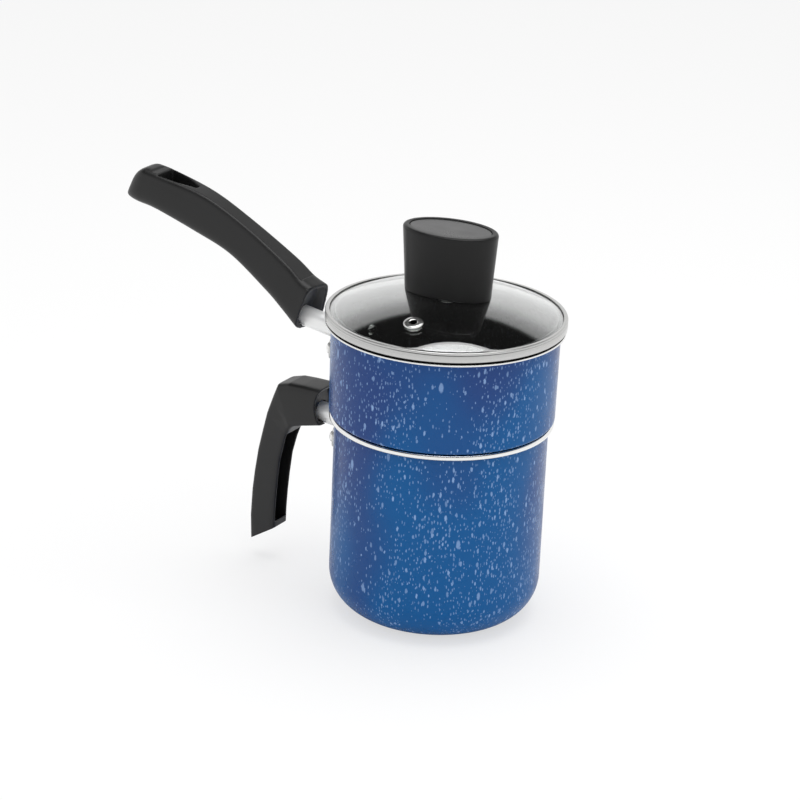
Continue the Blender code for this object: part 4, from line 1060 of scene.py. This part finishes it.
def grip_screw(prefix, body, path, place):
    """The screw from under the grip up through the tang. Returns its seat and its upward direction."""
    along = (path[-1] - path[-2]).normalized()
    up = square_to(along)
    spot = path[-1] - along * TANG_END
    seat = spot - up * (TANG_THICKNESS / 2 + SCREW_FLOOR)
    tip = spot + up * TANG_THICKNESS / 2
    stand = place @ Matrix.Translation(seat) @ stood(up)
    made = screw(prefix + "_pan_screw", *GRIP_SCREW, (tip - seat).length, stand)
    stand_for(made, body, "zinc_steel", prefix + "_screw")
    return seat, up


LONG_TILT, LONG_FERRULE = math.radians(8.4), 0.0330
SHORT_TILT, SHORT_FERRULE = math.radians(5), 0.0240
LONG_TANG, LONG_TANG_SLOPE = 0.0270, math.radians(46)
SHORT_TANG, SHORT_TANG_SLOPE = 0.0160, 0.0
long_tang = tang_path(LONG_TILT, LONG_FERRULE, LONG_TANG, LONG_TANG_SLOPE)
short_tang = tang_path(SHORT_TILT, SHORT_FERRULE, SHORT_TANG, SHORT_TANG_SLOPE)
handle_mount("long_handle", "vessel", LONG_WALL, VESSEL_WALL, LONG_TILT, LONG_FERRULE, long_tang, LONG_PLACE)
handle_mount("short_handle", "pot", POT_RADIUS, POT_WALL, SHORT_TILT, SHORT_FERRULE, short_tang, SHORT_PLACE)
long_seat = grip_screw("long_handle", "vessel", long_tang, LONG_PLACE)
short_seat = grip_screw("short_handle", "pot", short_tang, SHORT_PLACE)

# Long grip, on the vessel. One phenolic moulding, waisted in the middle and rounded at its far end.
# A shallow field is sunk along its top, and a wedge-shaped slot near the end is there to hang it by.
GRIP_STEPS = 80
MOUTH_WALL = 0.0024
MOUTH_DEPTH = 0.0055
SPAN_STEPS = 10
FADE_STEPS = 10
VOXEL = 0.00046
LONG_SOFTNESS = 7
# Distance out from the wall, height over the handle's axis, width, depth, and the top's share of the width
LONG_STATIONS = (
    (0.0258, 0.0116, 0.0272, 0.0302, 0.80),
    (0.0365, 0.0188, 0.0258, 0.0260, 0.80),
    (0.0495, 0.0283, 0.0236, 0.0258, 0.78),
    (0.0787, 0.0458, 0.0212, 0.0239, 0.74),
    (0.1079, 0.0575, 0.0214, 0.0266, 0.80),
    (0.1371, 0.0654, 0.0238, 0.0242, 0.92),
    (0.1494, 0.0675, 0.0242, 0.0239, 0.92),
)
LONG_SQUARENESS = (4.4, 3.6)
LONG_MOUTH_SKEW = 0.16
LONG_MOUTH_LEAN = math.radians(-18)
TIP_LENGTH = 0.0142
TIP_FALL = 0.0172
TIP_LIFT = 0.0013
TIP_LEAN = math.radians(17)
# Distance out from the wall and half the width, at the slot's narrow end, its shoulder and its wide end
SLOT_EDGES = ((0.1135, 0.0024), (0.1255, 0.0067), (0.1392, 0.0084))
SLOT_ROUND = 0.0014
INLAY_START, INLAY_END, INLAY_DEPTH = 0.0375, 0.1460, 0.0008


def smooth_stations(stations, spans):
    """Catmull-Rom through the stations, each a row of numbers."""
    rows = np.array(stations)
    rows = np.vstack([rows[:1], rows, rows[-1:]])
    found = []
    for p0, p1, p2, p3 in zip(rows, rows[1:], rows[2:], rows[3:]):
        bend = 2 * p0 - 5 * p1 + 4 * p2 - p3
        twist = 3 * p1 - p0 - 3 * p2 + p3
        for t in np.arange(spans) / spans:
            found.append(0.5 * (2 * p1 + (p2 - p0) * t + bend * t**2 + twist * t**3))
    return found + [rows[-1]]


def grip_section(station, slope, squareness, inset=0.0, skew=0.0):
    """A rounded section square to a slope in the XZ plane, or skewed in plan.

    Its squareness is given for the upper and for the lower half.
    """
    x, z, width, depth, top_share = station
    along, up = heading(slope)
    ring = []
    for angle in math.tau * (np.arange(GRIP_STEPS) + 0.5) / GRIP_STEPS:
        c, s = math.cos(angle), math.sin(angle)
        power = 2 / squareness[s < 0]
        rise = math.copysign(abs(s) ** power, s)
        across = math.copysign(abs(c) ** power, c)
        y = across * (width / 2 - inset) * (1 - (1 - top_share) * (rise + 1) / 2)
        ring.append(Vector((x, y, z)) + up * rise * (depth / 2 - inset) + along * y * skew)
    return ring


def slopes_of(stations, start_lean):
    """The path's slope at each station. The first sections lean, each less than the one before."""
    heights, outs = [s[1] for s in stations], [s[0] for s in stations]
    slopes = []
    for index in range(len(stations)):
        before, after = max(index - 1, 0), min(index + 1, len(stations) - 1)
        slopes.append(math.atan2(heights[after] - heights[before], outs[after] - outs[before]))
    for index in range(FADE_STEPS):
        slopes[index] += start_lean * (1 - index / FADE_STEPS)
    return slopes


def part_way(path, slopes, distance):
    """The station and the slope at a distance along the path."""
    for index in range(len(path) - 1):
        step = math.dist(path[index][:2], path[index + 1][:2])
        if distance <= step:
            break
        distance -= step
    share = distance / step
    slope = slopes[index] + (slopes[index + 1] - slopes[index]) * share
    return path[index] + (path[index + 1] - path[index]) * share, slope


GRIP_STUFF = phenolic("handled_phenolic", 21, 0.4, 0.42)


def grip_skin(name, path, slopes, squareness, skew, end_rings):
    """The hollow mouth, the outer skin along the path, and whatever closes its far end."""
    rings = [grip_section(*part_way(path, slopes, MOUTH_DEPTH), squareness, MOUTH_WALL)]
    rings += [grip_section(path[0], slopes[0], squareness, MOUTH_WALL, skew)]
    for index, (station, slope) in enumerate(zip(path, slopes)):
        rings.append(grip_section(station, slope, squareness, 0, skew * max(1 - index / FADE_STEPS, 0)))
    return loft(name, rings + end_rings, GRIP_STUFF)


def mouth_scoop(station, slope, sink):
    """The bar whose arc cuts the sides of a mouth back, deepest halfway up."""
    half = station[3] / 2
    radius = (half**2 + sink**2) / (2 * sink)
    back = sink - radius
    centre = Vector((station[0] + math.cos(slope) * back, 0, station[1] + math.sin(slope) * back))
    reach = Vector((0, station[2], 0))
    return cylinder("mouth_scoop", radius, centre - reach, centre + reach, 160)


def socket_cutters(tilt, ferrule_length, path, seat, up):
    """What is cut from every grip: the tube's seat, the tang's slot and the stepped hole of the screw."""
    out, _ = heading(tilt)
    shank, head, head_height = GRIP_SCREW
    tip = seat + up * (SCREW_FLOOR + TANG_THICKNESS)
    end = path[-1] + (path[-1] - path[-2]).normalized() * GAP
    slot_path = [out * ferrule_length * 0.6, path[1], path[2], end]
    return (
        cylinder("tube_seat", FERRULE_RADIUS + GAP, out * 0.5 * ferrule_length, out * (ferrule_length + GAP)),
        bar("tang_slot", slot_path, TANG_WIDTH + 2 * GAP, TANG_THICKNESS + 2 * GAP, PHENOLIC),
        cylinder("screw_bore", shank + GAP, seat - up * head_height, tip + up * GAP),
        cylinder("screw_head_bore", head + GAP, seat - up * 2 * FERRULE_RADIUS, seat + up * GAP),
    )


def mould(thing, passes):
    """Rounds every edge of a cut shape as a mould does."""
    remesh = thing.modifiers.new("even_mesh", "REMESH")
    remesh.mode, remesh.voxel_size, remesh.use_smooth_shade = "VOXEL", VOXEL, True
    soften = thing.modifiers.new("soft_edges", "SMOOTH")
    soften.factor, soften.iterations = 0.5, passes
    settle(thing)
    thing.data.shade_smooth()


def long_tip(station, slope):
    """A rounded end: the sections narrow as an oval does, their tops falling away and leaning back."""
    rings = []
    for angle in np.radians(np.linspace(5, 84, 18)):
        narrow = math.cos(angle)
        reach = TIP_LENGTH * math.sin(angle)
        fall, lift = TIP_FALL * (1 - narrow), TIP_LIFT * (1 - narrow)
        x = station[0] + math.cos(slope) * reach
        z = station[1] + math.sin(slope) * reach + (lift - fall) / 2
        end = (x, z, station[2] * narrow, station[3] - fall - lift, station[4])
        rings.append(grip_section(end, slope + TIP_LEAN * reach / TIP_LENGTH, LONG_SQUARENESS))
    return rings


def hanging_slot(path):
    """The cutter of the slot, which widens from its narrow end, with rounded corners."""
    (near_x, near), shoulder, (far_x, far) = SLOT_EDGES
    side = trace(
        (near_x + SLOT_ROUND, near - SLOT_ROUND, SLOT_ROUND, 180, 90, 5), shoulder,
        (far_x - SLOT_ROUND, far - SLOT_ROUND, SLOT_ROUND, 90, 0, 5),
    )
    corners = side + [(x, -y) for x, y in side[::-1]]
    heights = [station[1] for station in path if station[0] > near_x - far]
    depth = max(station[3] for station in path)
    rings = [[Vector((x, y, z)) for x, y in corners] for z in (min(heights) - depth, max(heights) + depth)]
    return loft("hanging_slot", rings, PHENOLIC)


def top_inlay(path, slopes):
    """The cutter of the sunken field along the top, which ends in a low step at each end."""
    rings = []
    spots = np.array([station[0] for station in path])
    for stop in np.linspace(INLAY_START, INLAY_END, 48):
        x, z, width, depth, top_share = (np.interp(stop, spots, [s[i] for s in path]) for i in range(5))
        _, up = heading(np.interp(stop, spots, slopes))
        low = Vector((x, 0, z)) + up * (depth / 2 - INLAY_DEPTH)
        rings.append(oblong(low, low + up * depth / 2, Vector((0, width * top_share, 0))))
    return loft("top_inlay", rings, PHENOLIC)


def mouth_faces(thing, station, slope, skew):
    """Numbers the faces inside the long grip's mouth 1 and all others 0; those faces get a lighter grey as
    painted light.
    """
    x, y, z = of_faces(thing.data, "center").T
    x, z = x - station[0], z - station[1]
    along, up = x * math.cos(slope) + z * math.sin(slope), z * math.cos(slope) - x * math.sin(slope)
    half_width, half_depth = station[2] / 2, station[3] / 2
    narrowed = half_width * (1 - (1 - station[4]) * (up / half_depth + 1) / 2)
    inside = (np.abs(y) < narrowed - 0.7 * MOUTH_WALL) & (np.abs(up) < half_depth - 0.7 * MOUTH_WALL)
    return inside & (along > y * skew + 0.0004) & (along < 1.4 * MOUTH_DEPTH)


long_path = smooth_stations(LONG_STATIONS, SPAN_STEPS)
long_slopes = slopes_of(long_path, LONG_MOUTH_LEAN)
long_end = long_tip(long_path[-1], long_slopes[-1])
long_grip = grip_skin(
    "long_grip_moulding", long_path, long_slopes, LONG_SQUARENESS, LONG_MOUTH_SKEW, long_end
)
cut(
    long_grip, top_inlay(long_path, long_slopes), hanging_slot(long_path),
    *socket_cutters(LONG_TILT, LONG_FERRULE, long_tang, *long_seat),
)
mould(long_grip, LONG_SOFTNESS)
in_mouth = mouth_faces(long_grip, long_path[0], long_slopes[0], LONG_MOUTH_SKEW)
# Painted light: the inside of the mouth gets a lighter grey phenolic than the outside.
paint(long_grip, [GRIP_STUFF, phenolic("unpolished_phenolic", 92, 0.6)], in_mouth)
long_grip.data.transform(LONG_PLACE)
stand_for(long_grip, "vessel", "black_phenolic", "long_handle_grip")

# Short grip, on the pot. The same moulding stuff, an angled block that turns down in front of the wall.
# Its inner face is hollowed into a channel for the fingers.
SHORT_SOFTNESS = 4
SHORT_SQUARENESS = (8.0, 8.0)
SHORT_TOP_SHARE = 0.98
SHORT_NOTCH = 0.0042
CHANNEL_WALL = 0.0022
CHANNEL_DEPTH = 0.0105
CHANNEL_TOP = 0.0100
# Points on the outer and the inner edge, each out from the wall and above the handle's axis, and the width
SHORT_EDGES = (
    ((0.0155, 0.0197), (0.0150, -0.0041), 0.0232),
    ((0.0303, 0.0195), (0.0303, -0.0080), 0.0232),
    ((0.0395, 0.0190), (0.0356, -0.0097), 0.0230),
    ((0.0480, 0.0165), (0.0374, -0.0114), 0.0226),
    ((0.0516, 0.0079), (0.0388, -0.0131), 0.0212),
    ((0.0563, -0.0047), (0.0406, -0.0164), 0.0196),
    ((0.0597, -0.0180), (0.0426, -0.0225), 0.0184),
    ((0.0628, -0.0315), (0.0456, -0.0347), 0.0178),
    ((0.0652, -0.0470), (0.0472, -0.0491), 0.0174),
    ((0.0667, -0.0600), (0.0482, -0.0615), 0.0171),
    ((0.0676, -0.0785), (0.0488, -0.0733), 0.0169),
    ((0.0669, -0.0949), (0.0489, -0.0833), 0.0167),
)


def between_edges(edges, top_share):
    """Stations halfway between an outer and an inner edge, and the slopes that set them square."""
    stations, slopes = [], []
    for outer, inner, width in edges:
        across = Vector(outer) - Vector(inner)
        middle = (Vector(outer) + Vector(inner)) / 2
        stations.append(np.array((*middle, width, across.length, top_share)))
        slopes.append(math.atan2(-across.x, across.y))
    return stations, slopes


def palm_channel(path, slopes):
    """The cutter of the channel up the inner face, which stops short of the lower end."""
    rings = []
    stops = [(s, slope) for s, slope in zip(path[:-1], slopes) if s[1] < -CHANNEL_TOP]
    stops.append((path[-1] + np.array((0, 2 * CHANNEL_WALL, 0, 0, 0)), slopes[-1]))
    for (x, z, width, depth, _), slope in stops:
        middle, up = Vector((x, 0, z)), heading(slope)[1]
        high = middle + up * (CHANNEL_DEPTH - depth / 2)
        rings.append(oblong(high, middle - up * depth, Vector((0, width / 2 - CHANNEL_WALL, 0))))
    return loft("palm_channel", rings, PHENOLIC)


short_path, short_slopes = between_edges(SHORT_EDGES, SHORT_TOP_SHARE)
short_grip = grip_skin("short_grip_moulding", short_path, short_slopes, SHORT_SQUARENESS, 0, [])
cut(
    short_grip, mouth_scoop(short_path[0], short_slopes[0], SHORT_NOTCH),
    palm_channel(short_path, short_slopes),
    *socket_cutters(SHORT_TILT, SHORT_FERRULE, short_tang, *short_seat),
)
mould(short_grip, SHORT_SOFTNESS)
short_grip.data.transform(SHORT_PLACE)
stand_for(short_grip, "pot", "black_phenolic", "short_handle_grip")

# Studio. A pale floor, white surroundings and one round softbox overhead, seen from above and to one side.
# What the object mirrors is white up to a little above eye level and again overhead, and dark in between,
# so that the glass and the chrome have something to show.
AMBIENT = 0.78
SOFTBOX_RADIANCE = 2.3
SOFTBOX_DIAMETER = 1.2
SOFTBOX_PLACE = (0.12, 0.08, 1.35)
FLOOR_REACH = 6
FLOOR_DROP = 0.0003
FLOOR_LEVEL = 0.95
FLOOR_GLOW = 0.62
BACKDROP_END = math.sin(math.radians(39))
BACKDROP_FADE = 0.38
OVERHEAD = math.sin(math.radians(65))
EDGE_BLUR = 0.02
# How bright the surroundings are where the backdrop ends, and between there and overhead
FADED, DARK = 0.5, 0.02
CAMERA_DISTANCE = 1.8
CAMERA_AZIMUTH = math.radians(30)
CAMERA_ELEVATION = math.radians(21.21)
CAMERA_ROLL = math.radians(2.53)
AIM = (-0.0259, 0, 0.1357)
FOCAL_PIXELS, PICTURE_PIXELS, SENSOR_WIDTH = 2942.6, 800, 36

work = bmesh.new()
bmesh.ops.create_grid(work, x_segments=1, y_segments=1, size=FLOOR_REACH)
floor = solid("floor", work)
floor.data.transform(Matrix.Translation((0, 0, -FLOOR_DROP)))
floor_tint = (FLOOR_LEVEL, FLOOR_LEVEL, FLOOR_LEVEL, 1)
floor_paint = Finish("pale_floor", Base_Color=floor_tint, Roughness=0.9, Specular_IOR_Level=0.0)
is_seen = floor_paint.node("ShaderNodeLightPath", out="Is Camera Ray")
shaded = Value(floor_paint, floor_paint.shader.outputs["BSDF"])
white = floor_paint.node("ShaderNodeEmission", {}, {"Color": (1, 1, 1, 1), "Strength": 1.0})
lit = floor_paint.node("ShaderNodeMixShader", {}, {0: is_seen * FLOOR_GLOW, 1: shaded, 2: white})
floor_paint.feed(floor_paint.tree.nodes["Material Output"].inputs["Surface"], lit)
floor.data.materials.append(floor_paint.material)

world = bpy.data.worlds.new("studio")
world.use_nodes = True
bpy.context.scene.world = world
sky = Tree(world.node_tree)
_, _, height = sky.node("ShaderNodeTexCoord", out="Generated").parts()
ray_kinds = sky.node("ShaderNodeLightPath", out="Is Camera Ray").socket.node.outputs
is_camera, is_glossy, is_through = (
    Value(sky, ray_kinds[name]) for name in ("Is Camera Ray", "Is Glossy Ray", "Is Transmission Ray")
)
fading = height.within(BACKDROP_FADE, BACKDROP_END, 1.0, FADED)
below = fading * height.within(BACKDROP_END - EDGE_BLUR, BACKDROP_END + EDGE_BLUR, 1.0, 0.0)
surroundings = below + height.within(OVERHEAD - EDGE_BLUR, OVERHEAD + EDGE_BLUR, DARK, 1.0)
bright = is_glossy.greater(is_through)
strength = is_camera + (1 - is_camera) * (bright * surroundings + (1 - bright) * AMBIENT)
background = next(node for node in world.node_tree.nodes if node.type == "BACKGROUND")
background.inputs["Color"].default_value = (1, 1, 1, 1)
sky.feed(background.inputs["Strength"], strength)

softbox = bpy.data.lights.new("softbox", "AREA")
softbox.shape, softbox.size = "DISK", SOFTBOX_DIAMETER
softbox.energy = SOFTBOX_RADIANCE * math.pi * math.pi * SOFTBOX_DIAMETER**2 / 4
put("softbox", softbox).location = SOFTBOX_PLACE

lens = bpy.data.cameras.new("camera")
lens.lens, lens.sensor_width = FOCAL_PIXELS / PICTURE_PIXELS * SENSOR_WIDTH, SENSOR_WIDTH
lens.clip_start, lens.clip_end = 0.05, 50
camera = put("camera", lens)
bpy.context.scene.camera = camera
aimed = Matrix.Rotation(CAMERA_AZIMUTH, 4, "Z") @ Matrix.Translation(AIM)
tilted = Matrix.Rotation(math.pi / 2 - CAMERA_ELEVATION, 4, "X") @ Matrix.Rotation(CAMERA_ROLL, 4, "Z")
camera.matrix_world = aimed @ tilted @ Matrix.Translation((0, 0, CAMERA_DISTANCE))

bpy.context.scene.view_settings.view_transform = "Standard"
